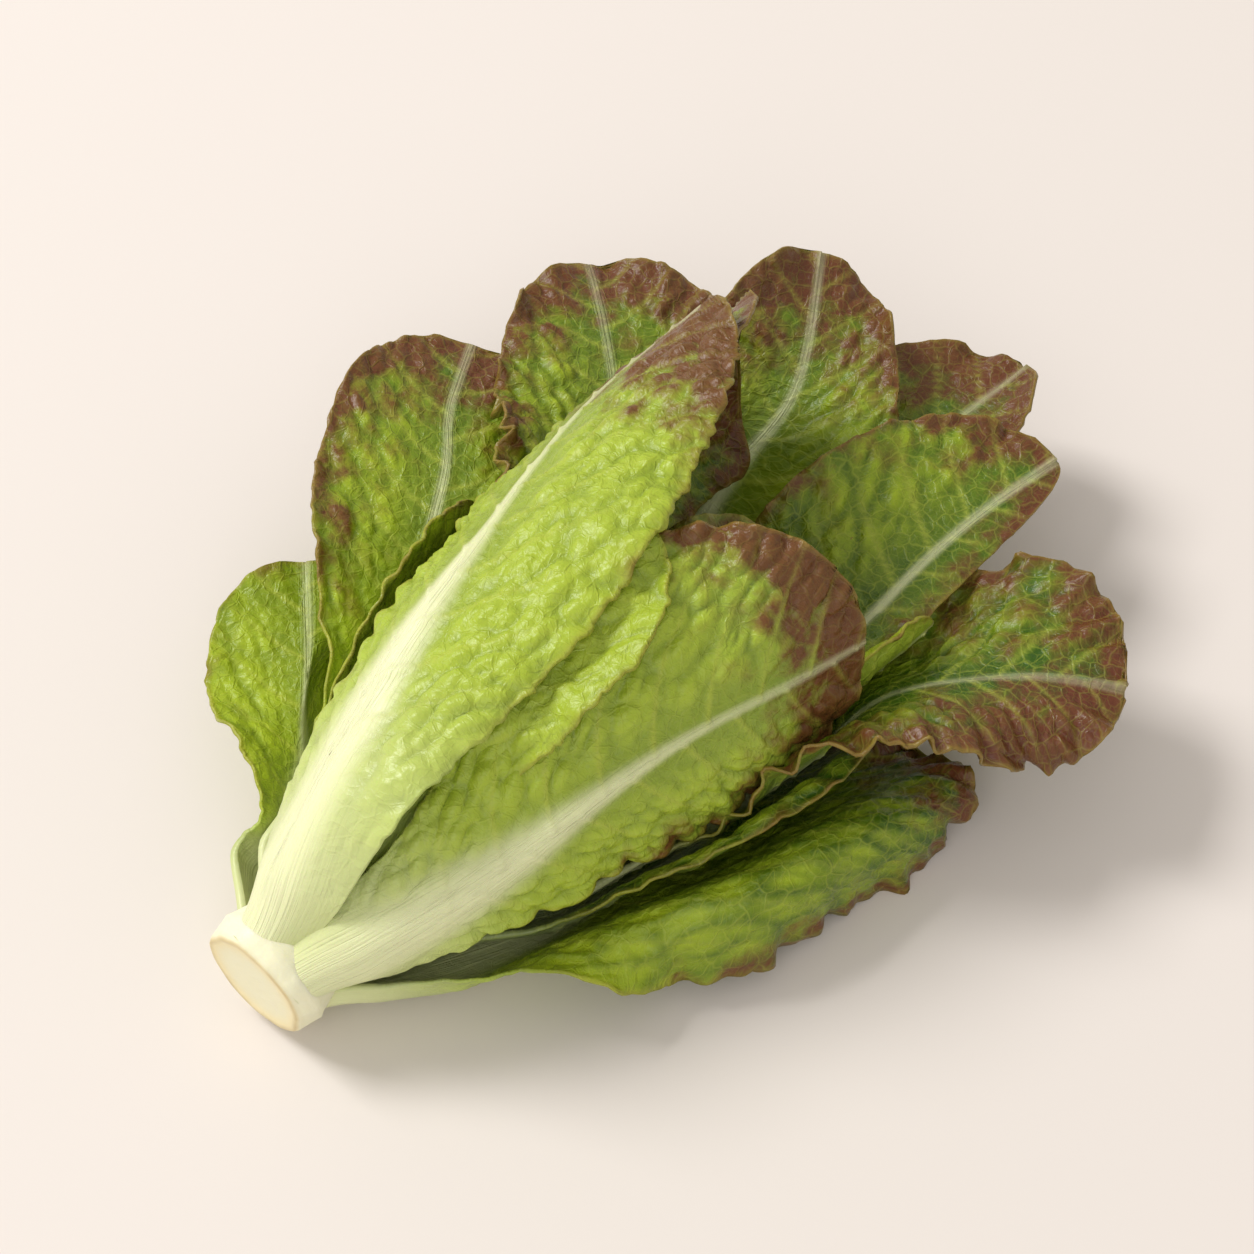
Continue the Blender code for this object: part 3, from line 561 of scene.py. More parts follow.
class Sheet:
    """A leaf's inner face as a grid of points, with its outward normals and its thickness."""

    PATH_POINTS = 120
    BEND_STEPS = 14

    def __init__(self, leaf: Leaf, shares: np.ndarray, columns: np.ndarray) -> None:
        """Shapes the sheet on rows at shares of the length and columns at shares of the half width."""
        self.leaf = leaf
        self.across_columns, self.share = np.meshgrid(columns, shares)
        self.widest = np.where(self.across_columns >= 0, *leaf.widest)
        past = np.clip((self.share - self.widest) / (1.0 - self.widest), 0.0, 1.0)
        self.across = self.across_columns * round_off(past)
        self.end = self.widest + (1.0 - self.widest) * round_off(np.abs(self.across))
        self.place()

    def place(self) -> None:
        """Puts the points where the leaf's rib, bends, rolls and ruffles take them."""
        leaf = self.leaf
        control = np.array([head_point(*p) for p in leaf.rib])
        path, self.length = smooth_path(control, self.PATH_POINTS)
        tangent = unit(np.gradient(path, axis=0))
        out = path * np.array([0.0, 1.0, 1.0])
        reach = np.linalg.norm(out, axis=1)
        out = unit(out - (out * tangent).sum(axis=1)[:, None] * tangent)
        left = np.cross(out, tangent)
        even = np.linspace(0.0, 1.0, self.PATH_POINTS)
        turn = np.radians(along(leaf.turn, even))[:, None]
        out, left = out * np.cos(turn) + left * np.sin(turn), left * np.cos(turn) - out * np.sin(turn)

        def at(values: np.ndarray) -> np.ndarray:
            """The path's values at the grid's places."""
            return np.stack([np.interp(self.share, even, values[:, k]) for k in range(3)], axis=-1)

        origin, out, left = at(path), at(out), at(left)
        reach = np.interp(self.share, even, np.maximum(reach, 12.0))
        self.width = self.half_width(self.share)
        hug = self.by_side(leaf.hug)
        roll = np.radians(self.by_side(leaf.roll))
        sign = self.sided(1.0, -1.0)[..., None]
        self.distance = np.abs(self.across) * self.width
        angle = np.zeros_like(self.distance)
        self.points = origin.copy()
        for step in range(self.BEND_STEPS):
            part = (step + 0.5) / self.BEND_STEPS * np.abs(self.across)
            angle = hug * part * self.width / reach + roll * smoothstep(part, ROLL_FROM, ROLL_TO)
            move = (self.distance / self.BEND_STEPS)[..., None]
            self.points += move * (np.cos(angle)[..., None] * left * sign - np.sin(angle)[..., None] * out)
        normal = np.cos(angle)[..., None] * out + np.sin(angle)[..., None] * left * sign
        self.points += normal * self.ruffles()[..., None]

    def sided(self, left: np.ndarray, right: np.ndarray) -> np.ndarray:
        """One value on the left half and another on the right."""
        return np.where(self.across >= 0, left, right)

    def by_side(self, pairs: tuple) -> np.ndarray:
        """Pairs along the leaf, read for the left half or the right one."""
        left, right = zip(*pairs)
        return self.sided(along(left, self.share), along(right, self.share))

    def half_width(self, share: np.ndarray) -> np.ndarray:
        """The half width that the blade has grown to at a share of the length."""
        leaf = self.leaf
        widest = self.sided(*leaf.half_width)
        grown = np.clip(share / FULL_WIDTH, 0.0, 1.0) ** leaf.waist
        return leaf.base_width + (widest - leaf.base_width) * smoothstep(grown, -0.05, 1.02)

    def edge_place(self) -> tuple[np.ndarray, np.ndarray]:
        """Distance in from the leaf's edge, and the place along that edge, in millimetres."""
        side = (1.0 - np.abs(self.across)) * self.width
        top = (self.end - self.share) * self.length
        past = np.maximum(self.share - self.widest, 0.0) * self.length
        round_tip = np.arctan2(past, np.maximum(self.distance, 1e-6))
        place = np.minimum(self.share, self.widest) * self.length + round_tip * self.width
        return np.minimum(side, top), place

    def ruffles(self) -> np.ndarray:
        """How far the margin waves out and in."""
        leaf = self.leaf
        inward, place = self.edge_place()
        strength = np.exp(-inward / RUFFLE_REACH) * smoothstep(self.share, 0.12, 0.5)
        side = self.sided(0.0, 1.3)
        wave = np.sin(2 * math.pi * place / leaf.wave + leaf.phase * 2 + side)
        wave += 0.4 * np.sin(2 * math.pi * place / (leaf.wave * 0.62) + leaf.phase * 5 + side)
        return 0.5 * leaf.ruffle * strength * wave

    def normals(self) -> np.ndarray:
        """Unit normals of the grid, pointing to the leaf's outer face."""
        normal = unit(np.cross(np.gradient(self.points, axis=0), np.gradient(self.points, axis=1)))
        for _ in range(NORMAL_SMOOTHINGS):
            normal = smoothed(normal)
        return unit(normal)

    def rib_width(self) -> np.ndarray:
        """How wide the rib is at each point's share of the length."""
        return RIB_WIDTH_BASE + (RIB_WIDTH_TIP - RIB_WIDTH_BASE) * smoothstep(self.share, 0.0, 0.75)

    def thickness(self) -> np.ndarray:
        """The leaf's thickness: a thin blade and a rib that tapers to the tip."""
        leaf = self.leaf
        rib_depth = leaf.rib_depth * (1.0 - smoothstep(self.share, 0.05, 0.95)) ** 1.2
        base = 0.3 * leaf.rib_depth * (1.0 - smoothstep(self.share, 0.0, 0.18))
        edge = 1.0 - smoothstep(np.abs(self.across), 0.4, 1.0)
        return BLADE + rib_depth * np.exp(-((self.distance / self.rib_width()) ** 2)) + base * edge

    def outer(self) -> np.ndarray:
        """The points of the leaf's outer face."""
        return self.points + self.normals() * self.thickness()[..., None]


class FineSheet(Sheet):
    """A leaf drawn fine: it keeps the nested sheet's form, and has veins, blisters, frill and teeth."""

    def __init__(self, nested: Sheet) -> None:
        """Redraws a nested sheet, moved as nesting moved it."""
        rows, columns = nested.leaf.look.detail.value
        up = np.linspace(0.0, 1.0, rows)
        shares = FINE_LAST_ROW * (FINE_EVEN * up + (1.0 - FINE_EVEN) * (1.0 - (1.0 - up) ** FINE_ROW_EASE))
        fine_columns = np.linspace(-1.0, 1.0, columns + 1 - columns % 2)
        super().__init__(nested.leaf, shares, fine_columns)
        self.points += self.lifts(nested, shares, fine_columns)
        self.root()
        self.inward, self.margin_place = self.edge_place()
        self.side_vein = self.side_veins()
        self.puff = self.blisters()
        self.crinkle()

    def lifts(self, nested: Sheet, shares: np.ndarray, columns: np.ndarray) -> np.ndarray:
        """How nesting moved the leaf, read at the fine grid's points.

        Args:
            nested: the coarse sheet, as nesting left it.
            shares: the fine rows' shares of the length.
            columns: the fine columns' shares of the half width.

        Returns:
            A move for each point, in millimetres.
        """
        coarse = coarse_shares()
        moved = smoothed(nested.points - Sheet(nested.leaf, coarse, np.array(COLUMNS)).points)
        calm = nested.leaf.look.calm_tip
        last = coarse[-1 - (CALM_ROWS if calm else 0)]
        by_row = natural_cubic(coarse, moved.reshape(ROWS + 1, -1), np.minimum(shares, last))
        by_column = by_row.reshape(len(shares), len(COLUMNS), 3).swapaxes(0, 1).reshape(len(COLUMNS), -1)
        fine = natural_cubic(np.array(COLUMNS), by_column, columns)
        fine = fine.reshape(len(columns), len(shares), 3).swapaxes(0, 1)
        if calm:
            even = smoothstep(self.share, last + CALM_FROM, last + CALM_TO)[..., None]
            fine = fine + (fine.mean(axis=1, keepdims=True) - fine) * even
        return fine

    def root(self) -> None:
        """Runs the leaf's base into the collar, or for an inner leaf into the stem behind it."""
        start = self.leaf.rib[0][0]
        x, depth = OUTER_ROOT if start < OUTER_START else INNER_ROOT
        reach = max(ROOT_REACH, ROOT_EASE * (start - x))
        near = 1.0 - smoothstep(self.share * self.length, 0.0, reach)
        _, azimuth, radius = cylindrical(self.points)
        self.points = self.points - outward(np.radians(azimuth)) * ((radius - depth) * near)[..., None]
        self.points[..., 0] -= (start - x) * near

    def half_width(self, share: np.ndarray) -> np.ndarray:
        """The half width, with the broad root that the leaf grows from."""
        near = 1.0 - smoothstep(share * self.length, 0.0, FLARE_REACH)
        flare = ROOT_FLARE if self.leaf.base_width > WIDE_BASE else 0.0
        return super().half_width(share) + flare * near

    def slanted(self) -> np.ndarray:
        """Where the side vein through each point leaves the rib, in millimetres from the base."""
        wander = 2.0 * np.sin(self.distance * 0.11 + self.leaf.phase * 3.0)
        lean = VEIN_SLANT * self.distance + VEIN_CURVE * self.distance**2
        return self.share * self.length - lean + wander

    def side_veins(self) -> np.ndarray:
        """How near each point is to the middle of a side vein, from 0 to 1."""
        offset = self.sided(0.0, 0.5) + self.leaf.phase
        gap = np.abs((self.slanted() / VEIN_SPACING + offset) % 1.0 - 0.5) * VEIN_SPACING
        fade = 1.0 - 0.75 * smoothstep(np.abs(self.across), 0.3, 0.95)
        return np.exp(-((gap / VEIN_WIDTH) ** 2)) * fade * smoothstep(self.share, 0.1, 0.3)

    def blisters(self) -> np.ndarray:
        """How far the blade puffs up between its veins, from 0 to 1."""
        look = self.leaf.look
        place = np.stack([self.slanted(), self.distance + self.sided(0.0, HALVES_APART)], axis=-1)
        total = np.zeros_like(self.distance)
        for scale, weight in BLISTER_SIZES:
            size = look.cell * scale
            nearest, second = scattered_cells(place, size, self.leaf.phase + size)
            total += weight * smoothstep(second - nearest, 0.0, 0.5) * (1.3 - nearest)
        grown = smoothstep(self.distance, 3.0, 16.0) * smoothstep(self.share, 0.06, 0.26)
        return total * grown * (1.0 - 0.6 * self.side_vein)

    def frill(self) -> np.ndarray:
        """How far the margin crimps out and in, in millimetres."""
        look = self.leaf.look
        side = self.sided(0.7, 2.1) + self.leaf.phase
        wave = sum(height * np.sin(self.margin_place * 2 * math.pi / length + turn * side)
                   for length, height, turn in FRILL_WAVES)
        grown = smoothstep(self.share, 0.25, 0.6) * smoothstep(self.distance, 0.0, RIB_CLEAR)
        return look.frill * np.exp(-self.inward / FRILL_REACH) * grown * wave

    def teeth(self) -> np.ndarray:
        """How far the margin's teeth stand out in the leaf's plane, in millimetres."""
        look = self.leaf.look
        place = self.margin_place + 1.8 * np.sin(self.margin_place * 0.21 + self.leaf.phase)
        saw = 1.0 - np.abs((place / TOOTH_SPACING) % 1.0 - TOOTH_PEAK) * TOOTH_SLOPE
        grown = smoothstep(self.share, 0.08, 0.25) * smoothstep(self.distance, 0.0, RIB_CLEAR)
        grown = grown * np.exp(-self.inward / TOOTH_REACH)
        return look.teeth * grown * saw * (0.7 + 0.5 * np.sin(place * 0.37))

    def crinkle(self) -> None:
        """Moves the points by the blisters, the frill and the teeth."""
        look = self.leaf.look
        normal = self.normals()
        rise = look.facing.value * BLISTER_RISE * look.blister * self.puff + self.frill()
        sign = self.sided(1.0, -1.0)[..., None]
        along_across = unit(np.gradient(self.points, axis=1)) * sign
        along_up = unit(np.gradient(self.points, axis=0))
        past = np.maximum(self.share - self.widest, 0.0) * self.length
        tip = np.arctan2(past, np.maximum(self.distance, 1e-6))[..., None]
        outwards = unit(along_across * np.cos(tip) + along_up * np.sin(tip))
        self.points = self.points + normal * rise[..., None] + outwards * self.teeth()[..., None]

    def thickness(self) -> np.ndarray:
        """The leaf's thickness, with its side veins standing on the outer face."""
        return super().thickness() + VEIN_RISE * self.side_vein

    def redness(self) -> np.ndarray:
        """How red each point is, from 0 to 1."""
        look = self.leaf.look
        sides = self.sided(*look.red_sides)
        tip = look.red * smoothstep(self.share, look.red_from, REDDEST)
        margin = look.red_edge * np.exp(-self.inward / look.red_reach) * smoothstep(self.share, 0.3, 0.62)
        red = sides * (tip + margin)
        return np.clip(red * (0.8 + 0.5 * self.puff), 0.0, 1.2)

    def paleness(self) -> np.ndarray:
        """How near each point is to the white of the base and the rib, from 0 to 1."""
        look = self.leaf.look
        reach = self.rib_width() * (1.3 - 0.55 * smoothstep(self.share, 0.15, 0.7))
        rib = np.exp(-((self.distance / reach) ** 3)) * (1.0 - 0.55 * smoothstep(self.share, 0.35, 1.0))
        base = 0.9 * (1.0 - smoothstep(self.share, 0.0, look.pale_to))
        base = base * (0.45 + 0.55 * np.exp(-((self.distance / BASE_PALE) ** 2)))
        return np.clip(np.maximum(look.rib_white * rib, base), 0.0, 1.0)


class HeightMap:
    """The radius that the leaves laid so far reach, on a grid of x and azimuth."""

    def __init__(self, stem: "Stem") -> None:
        """Starts from the stem alone."""
        self.rows = int((MAP_END - MAP_START) / CELL_X) + 1
        self.columns = int(360.0 / CELL_AZIMUTH)
        x = MAP_START + CELL_X * np.arange(self.rows)
        profile = stem.profile()
        around = np.interp(x, [p[0] for p in profile], [p[1] for p in profile], right=0.0)
        around[x < stem.collar_length + CELL_X] = stem.neck_radius
        self.height = np.repeat(around[:, None], self.columns, axis=1)

    def cells(self, points: np.ndarray) -> tuple[np.ndarray, np.ndarray, np.ndarray]:
        """The row and column of each point's cell, and the point's radius."""
        x, azimuth, radius = cylindrical(points)
        row = np.clip(np.round((x - MAP_START) / CELL_X).astype(int), 0, self.rows - 1)
        return row, np.round(azimuth / CELL_AZIMUTH).astype(int) % self.columns, radius

    def spread(self) -> np.ndarray:
        """The map with each cell as high as its neighbours, away from the stem."""
        far = MAP_START + CELL_X * np.arange(self.rows)[:, None] > SPREAD_FROM
        return np.where(far, widened(self.height), self.height)

    def add(self, points: np.ndarray) -> None:
        """Raises the map to a face."""
        steps = np.linspace(0.0, 1.0, SAMPLES)
        for up, across in itertools.product(steps, steps):
            row, column, radius = self.cells(blend(points, up, across))
            np.maximum.at(self.height, (row, column), radius)

    def lay_clear(self, sheet: Sheet) -> None:
        """Lifts the sheet out from the head's axis, by as little as clears the leaves already laid."""
        steps = np.linspace(0.0, 1.0, LIFT_SAMPLES)
        height = self.spread()
        for _ in range(LIFT_PASSES):
            faces = (sheet.points, sheet.outer())
            lift = np.zeros(sheet.across.shape)
            for _ in range(LIFT_ROUNDS):
                for points, up, across in itertools.product(faces, steps, steps):
                    row, column, radius = self.cells(blend(points, up, across))
                    clear = height[row, column] + LEAF_GAP
                    short = np.maximum(clear - radius - blend(lift, up, across), 0.0)
                    weights = corner_weights(up, across, lift.shape[1])
                    push = LIFT_EASE * short / sum(w * w for w in weights)
                    raised = lift.copy()
                    for weight, corner in zip(weights, CORNERS):
                        raised[corner] = np.maximum(raised[corner], lift[corner] + weight * push)
                    lift = raised
            flat = sheet.points.reshape(-1, 3)
            apart = np.linalg.norm(flat[:, None] - flat[None], axis=2)
            lift = (lift.reshape(-1)[None] - LIFT_SLOPE * apart).max(axis=1).reshape(lift.shape)
            azimuth = np.radians(cylindrical(sheet.points)[1])
            sheet.points = sheet.points + outward(azimuth) * lift[..., None]
        self.add(sheet.points)
        self.add(sheet.outer())


class TablePress:
    """Presses up what would sink below the table, by column, in the order it lies in."""

    def __init__(self, sheets: list[Sheet]) -> None:
        """Measures how deep each column would sink."""
        faces = [to_table(points) for sheet in sheets for points in (sheet.points, sheet.outer())]
        low = np.min([face[..., :2].min(axis=(0, 1)) for face in faces], axis=0)
        high = np.max([face[..., :2].max(axis=(0, 1)) for face in faces], axis=0)
        self.start = low - 2 * PRESS_CELL
        self.shape = ((high - self.start) / PRESS_CELL).astype(int) + 4
        depth = np.zeros(self.shape)
        steps = np.linspace(0.0, 1.0, SAMPLES)
        for face, up, across in itertools.product(faces, steps, steps):
            point = blend(face, up, across)
            cell = np.round((point[..., :2] - self.start) / PRESS_CELL).astype(int)
            row, column = np.moveaxis(cell, -1, 0)
            np.maximum.at(depth, (row, column), -point[..., 2])
        self.depth = self.smooth(depth)

    @staticmethod
    def smooth(depth: np.ndarray) -> np.ndarray:
        """The depths spread to their neighbours and evened out."""
        spread = widened(depth)
        for axis in (0, 1, 0, 1):
            spread = (np.roll(spread, 1, axis) + 2 * spread + np.roll(spread, -1, axis)) / 4
        return spread

    def place(self, points: np.ndarray) -> np.ndarray:
        """The points over the table, pressed up where their column would sink."""
        at = np.clip((points[..., :2] - self.start) / PRESS_CELL, 0.0, self.shape - 1.001)
        row, column = np.moveaxis(at.astype(int), -1, 0)
        up, across = np.moveaxis(at % 1.0, -1, 0)
        near = (1 - up) * self.depth[row, column] + up * self.depth[row + 1, column]
        far = (1 - up) * self.depth[row, column + 1] + up * self.depth[row + 1, column + 1]
        depth = near + (far - near) * across
        share = np.maximum(PRESS_FROM - points[..., 2], 0.0) / (PRESS_FROM + depth)
        points[..., 2] += depth * share
        return points

    def faces(self, sheet: Sheet) -> tuple[np.ndarray, np.ndarray]:
        """A sheet's inner and outer faces over the table."""
        return self.place(to_table(sheet.points)), self.place(to_table(sheet.outer()))


@dataclass(frozen=True)
class VeinNet:
    """The fine veins and the beaded relief that leaf skins share, as a shader node group.

    warp is how far the pattern wanders, in cells. wide is half the coarse veins' width as a share of a
    cell, and the fine veins between them are fine_scale times closer.
    """

    name: str = "vein_net"
    warp: float = 0.9
    wide: float = 0.10
    fine_scale: float = 2.4
    fine_wide: float = 1.3
    fine_share: float = 0.45
    vein_height: float = 0.22
    grain_height: float = 0.3
    bead_scale: float = 1.5
    bead_height: float = 1.1
    bead_softness: float = 0.35

    def group(self) -> bpy.types.NodeTree:
        """The node group, built once.

        Returns:
            A group that takes a place in millimetres and a cell size, and puts out the veins, a
            bump height and a blotch mask.
        """
        if self.name in bpy.data.node_groups:
            return bpy.data.node_groups[self.name]
        tree = bpy.data.node_groups.new(self.name, "ShaderNodeTree")
        tree.interface.new_socket("Place", in_out="INPUT", socket_type="NodeSocketVector")
        tree.interface.new_socket("Cell", in_out="INPUT", socket_type="NodeSocketFloat")
        for output in ("Veins", "Height", "Blotch"):
            tree.interface.new_socket(output, in_out="OUTPUT", socket_type="NodeSocketFloat")
        wire = Wiring(tree)
        given = wire.add("NodeGroupInput")
        put = wire.add("NodeGroupOutput")
        scaled = wire.vector("DIVIDE", given.outputs["Place"], given.outputs["Cell"])
        wobble = wire.noise(scaled, Scale=0.8, Detail=2.0)
        shifted = wire.vector("MULTIPLY_ADD", wobble.outputs["Color"], (self.warp,) * 3, scaled)
        coarse = self.cells(wire, shifted, 1.0, self.wide)
        fine = self.cells(wire, shifted, self.fine_scale, self.wide * self.fine_wide)
        veins = wire.math("MAXIMUM", coarse, wire.times(fine, self.fine_share))
        blotch = wire.noise(scaled, Scale=0.45, Detail=4.0, Roughness=0.6)
        grain = wire.noise(scaled, Scale=6.0, Detail=3.0)
        beads = wire.add("ShaderNodeTexVoronoi", Scale=self.bead_scale)
        beads.feature = "SMOOTH_F1"
        beads.inputs["Smoothness"].default_value = self.bead_softness
        beads.voronoi_dimensions = "2D"
        wire.join(shifted, beads.inputs["Vector"])
        round_tops = wire.line(beads.outputs["Distance"], -self.bead_height, self.bead_height)
        height = wire.line(grain.outputs["Fac"], self.grain_height, wire.times(veins, self.vein_height))
        wire.set(put, {
            "Veins": veins,
            "Height": wire.math("ADD", height, round_tops),
            "Blotch": blotch.outputs["Fac"],
        })
        return tree

    @staticmethod
    def cells(wire: "Wiring", place: Socket, scale: float, wide: float) -> Socket:
        """Lines between scattered cells.

        Args:
            wire: the tree being wired.
            place: where the pattern is read.
            scale: how many cells stand in a unit.
            wide: half the lines' width, as a share of a cell.

        Returns:
            A socket that is 1 on the lines and 0 between them.
        """
        cells = wire.add("ShaderNodeTexVoronoi", Scale=scale)
        cells.feature = "DISTANCE_TO_EDGE"
        cells.voronoi_dimensions = "2D"
        wire.join(place, cells.inputs["Vector"])
        ramp = wire.add("ShaderNodeMapRange")
        ramp.interpolation_type = "SMOOTHSTEP"
        wire.join(cells.outputs["Distance"], ramp.inputs["Value"])
        for socket, value in (("From Min", 0.0), ("From Max", wide), ("To Min", 1.0), ("To Max", 0.0)):
            ramp.inputs[socket].default_value = value
        return ramp.outputs["Result"]


class Wiring:
    """Adds and joins the nodes of one tree."""

    def __init__(self, tree: bpy.types.NodeTree) -> None:
        """Takes the tree that nodes go into."""
        self.tree = tree

    def add(self, kind: str, **values: float) -> bpy.types.Node:
        """A new node, with plain values on its named inputs."""
        node = self.tree.nodes.new(kind)
        for name, value in values.items():
            node.inputs[name.replace("_", " ")].default_value = value
        return node

    def join(self, source: Socket, target: Socket) -> None:
        """Links an output to an input."""
        self.tree.links.new(source, target)

    def feed(self, value: object, target: Socket) -> None:
        """Links a socket to an input, or sets a plain value on it."""
        if isinstance(value, Socket):
            self.join(value, target)
        else:
            target.default_value = value

    def set(self, node: bpy.types.Node, values: dict[str, object]) -> None:
        """Feeds a node's named inputs with sockets or plain values."""
        for name, value in values.items():
            self.feed(value, node.inputs[name])

    def noise(self, place: Socket, **values: float) -> bpy.types.Node:
        """A noise pattern, read at a place."""
        node = self.add("ShaderNodeTexNoise", **values)
        self.join(place, node.inputs["Vector"])
        return node

    def bump(self, height: Socket, strength: float, distance: float) -> Socket:
        """The surface's normal, raised by a height."""
        node = self.add("ShaderNodeBump", Strength=strength, Distance=distance)
        self.join(height, node.inputs["Height"])
        return node.outputs["Normal"]

    def math(self, operation: str, *values: object) -> Socket:
        """The result of a Math node on sockets or numbers."""
        node = self.tree.nodes.new("ShaderNodeMath")
        node.operation = operation
        for place, value in enumerate(values):
            self.feed(value, node.inputs[place])
        return node.outputs[0]

    def line(self, value: object, slope: object, offset: object) -> Socket:
        """A socket or number times a slope, plus an offset."""
        return self.math("MULTIPLY_ADD", value, slope, offset)

    def times(self, first: object, *others: object) -> Socket:
        """The product of sockets and numbers."""
        for other in others:
            first = self.math("MULTIPLY", first, other)
        return first

    def vector(self, operation: str, *values: object) -> Socket:
        """The result of a Vector Math node on sockets or vectors."""
        node = self.tree.nodes.new("ShaderNodeVectorMath")
        node.operation = operation
        for place, value in enumerate(values):
            self.feed(value, node.inputs[place])
        return node.outputs[0]

    def mix(self, share: object, first: object, second: object) -> Socket:
        """Two colours mixed by a share from 0 to 1."""
        node = self.tree.nodes.new("ShaderNodeMix")
        node.data_type = "RGBA"
        node.clamp_factor = True
        self.feed(share, node.inputs[0])
        for place, value in ((6, first), (7, second)):
            colour = (*value, 1.0) if isinstance(value, tuple) and len(value) == 3 else value
            self.feed(colour, node.inputs[place])
        return node.outputs[2]

    def attribute(self, name: str) -> Socket:
        """The vector of a mesh's own attribute."""
        node = self.tree.nodes.new("ShaderNodeAttribute")
        node.attribute_name = name
        return node.outputs["Vector"]

    def parts(self, vector: Socket) -> tuple[Socket, ...]:
        """A vector's three numbers."""
        node = self.tree.nodes.new("ShaderNodeSeparateXYZ")
        self.join(vector, node.inputs[0])
        return tuple(node.outputs)


def new_finish(name: str) -> tuple[bpy.types.Material, Wiring, bpy.types.Node]:
    """A new material, with the wiring of its tree and its shader node."""
    made = bpy.data.materials.new(name)
    made.use_nodes = True
    return made, Wiring(made.node_tree), made.node_tree.nodes["Principled BSDF"]


@dataclass(frozen=True)
class LeafSkin:
    """A leaf's finish: waxy and glossy, white at the base and rib, green to red, with a net of veins.

    It reads three attributes of the leaf: plane (millimetres along and across, and 0 on the inner face
    or 1 on the outer), tone (paleness, redness, shade) and marks (side vein, margin, rib). The shade
    holds the green's own tone plus painted light on blister tops and painted shade in the pits between
    them. cell is in millimetres and bump in metres. patches is how much the green varies. The red starts
    where redness times blush_gain and the patches times blush_patches reach blush_start. The net fades
    in light green, on the outer face and in red.
    """

    slot: Slot
    white: Triple = (0.84, 0.86, 0.52)
    bright: Triple = (0.36, 0.47, 0.018)
    deep: Triple = (0.034, 0.095, 0.003)
    red: Triple = (0.14, 0.030, 0.016)
    vein: Triple = (0.50, 0.56, 0.07)
    edge: Triple = (0.34, 0.26, 0.04)
    bloom: Triple = (0.44, 0.56, 0.10)
    bloom_share: float = 0.26
    patches: float = 0.5
    blush_patches: float = 3.8
    blush_gain: float = 1.5
    blush_start: float = 2.2
    blush_most: float = 0.92
    net_share: float = 0.30
    net_in_light: float = 0.16
    net_outside: float = 0.45
    net_in_red: float = 0.5
    vein_share: float = 0.5
    vein_in_red: float = 0.25
    edge_share: float = 0.45
    cell: float = 5.0
    strand_scale: Triple = (0.035, 1.6, 0.0)
    strand_height: float = 1.6
    bump: float = 0.0007
    roughness: float = 0.34
    roughness_range: float = 0.16
    specular: float = 0.3
    coat: float = 0.12

    def material(self) -> bpy.types.Material:
        """Builds the finish.

        Returns:
            The material.
        """
        made, wire, shader = new_finish(self.slot.value)
        plane = wire.attribute("plane")
        tone = wire.parts(wire.attribute("tone"))
        marks = wire.parts(wire.attribute("marks"))
        net = wire.add("ShaderNodeGroup")
        net.node_tree = VeinNet().group()
        wire.set(net, {"Place": plane, "Cell": self.cell})
        blotch = net.outputs["Blotch"]

        strands = wire.noise(wire.vector("MULTIPLY", plane, self.strand_scale), Scale=1.0, Detail=3.0)
        strand_height = wire.times(strands.outputs["Fac"], wire.times(marks[2], self.strand_height))
        height = wire.times(net.outputs["Height"], wire.math("SUBTRACT", 1.0, tone[0]))
        wire.set(shader, {
            "Base Color": self.colour(wire, wire.parts(plane)[2], tone, marks, net),
            "Normal": wire.bump(wire.math("ADD", height, strand_height), 0.9, self.bump),
            "Roughness": wire.line(blotch, self.roughness_range, self.roughness - self.roughness_range / 2),
            "Specular IOR Level": self.specular,
            "Coat Weight": self.coat,
            "Coat Roughness": 0.22,
            "Subsurface Weight": 0.08,
            "Subsurface Radius": (0.6, 1.0, 0.25),
            "Subsurface Scale": 0.002,
        })
        return made

    def colour(self, wire: Wiring, outer: Socket, tone: tuple[Socket, ...], marks: tuple[Socket, ...],
               net: bpy.types.Node) -> Socket:
        """Mixes the leaf's colour: its green, the red over it, the veins, the margin and the white.

        Args:
            wire: the material's tree.
            outer: 0 on the inner face and 1 on the outer.
            tone: paleness, redness and shade, the shade holding painted light and shade of the blisters.
            marks: side vein, margin and rib.
            net: the vein net's node.

        Returns:
            The colour.
        """
        pale, redness, shade = tone
        side_vein, margin, _ = marks
        veins, blotch = net.outputs["Veins"], net.outputs["Blotch"]
        # The shade sets deep to bright green, with painted light on blister tops and painted shade in their
        # pits.
        patchy = wire.line(blotch, self.patches, wire.math("SUBTRACT", shade, self.patches / 2))
        green = wire.mix(patchy, self.deep, self.bright)
        green = wire.mix(wire.times(outer, self.bloom_share), green, self.bloom)

        reddened = wire.line(redness, self.blush_gain, -self.blush_start)
        blush = wire.line(blotch, self.blush_patches, reddened)
        blush = wire.math("MINIMUM", wire.math("MAXIMUM", blush, 0.0), self.blush_most)
        blush = wire.times(blush, wire.math("MINIMUM", wire.times(redness, 3.0), 1.0))
        skin = wire.mix(blush, green, self.red)

        net_share = wire.times(veins, wire.line(shade, -self.net_in_light, self.net_share),
                               wire.line(outer, -self.net_outside, 1.0),
                               wire.line(blush, -self.net_in_red, 1.0))
        skin = wire.mix(net_share, skin, self.vein)
        vein_share = wire.times(side_vein, wire.line(redness, -self.vein_in_red, self.vein_share))
        skin = wire.mix(vein_share, skin, self.vein)
        skin = wire.mix(wire.times(margin, self.edge_share), skin, self.edge)
        return wire.mix(pale, skin, self.white)


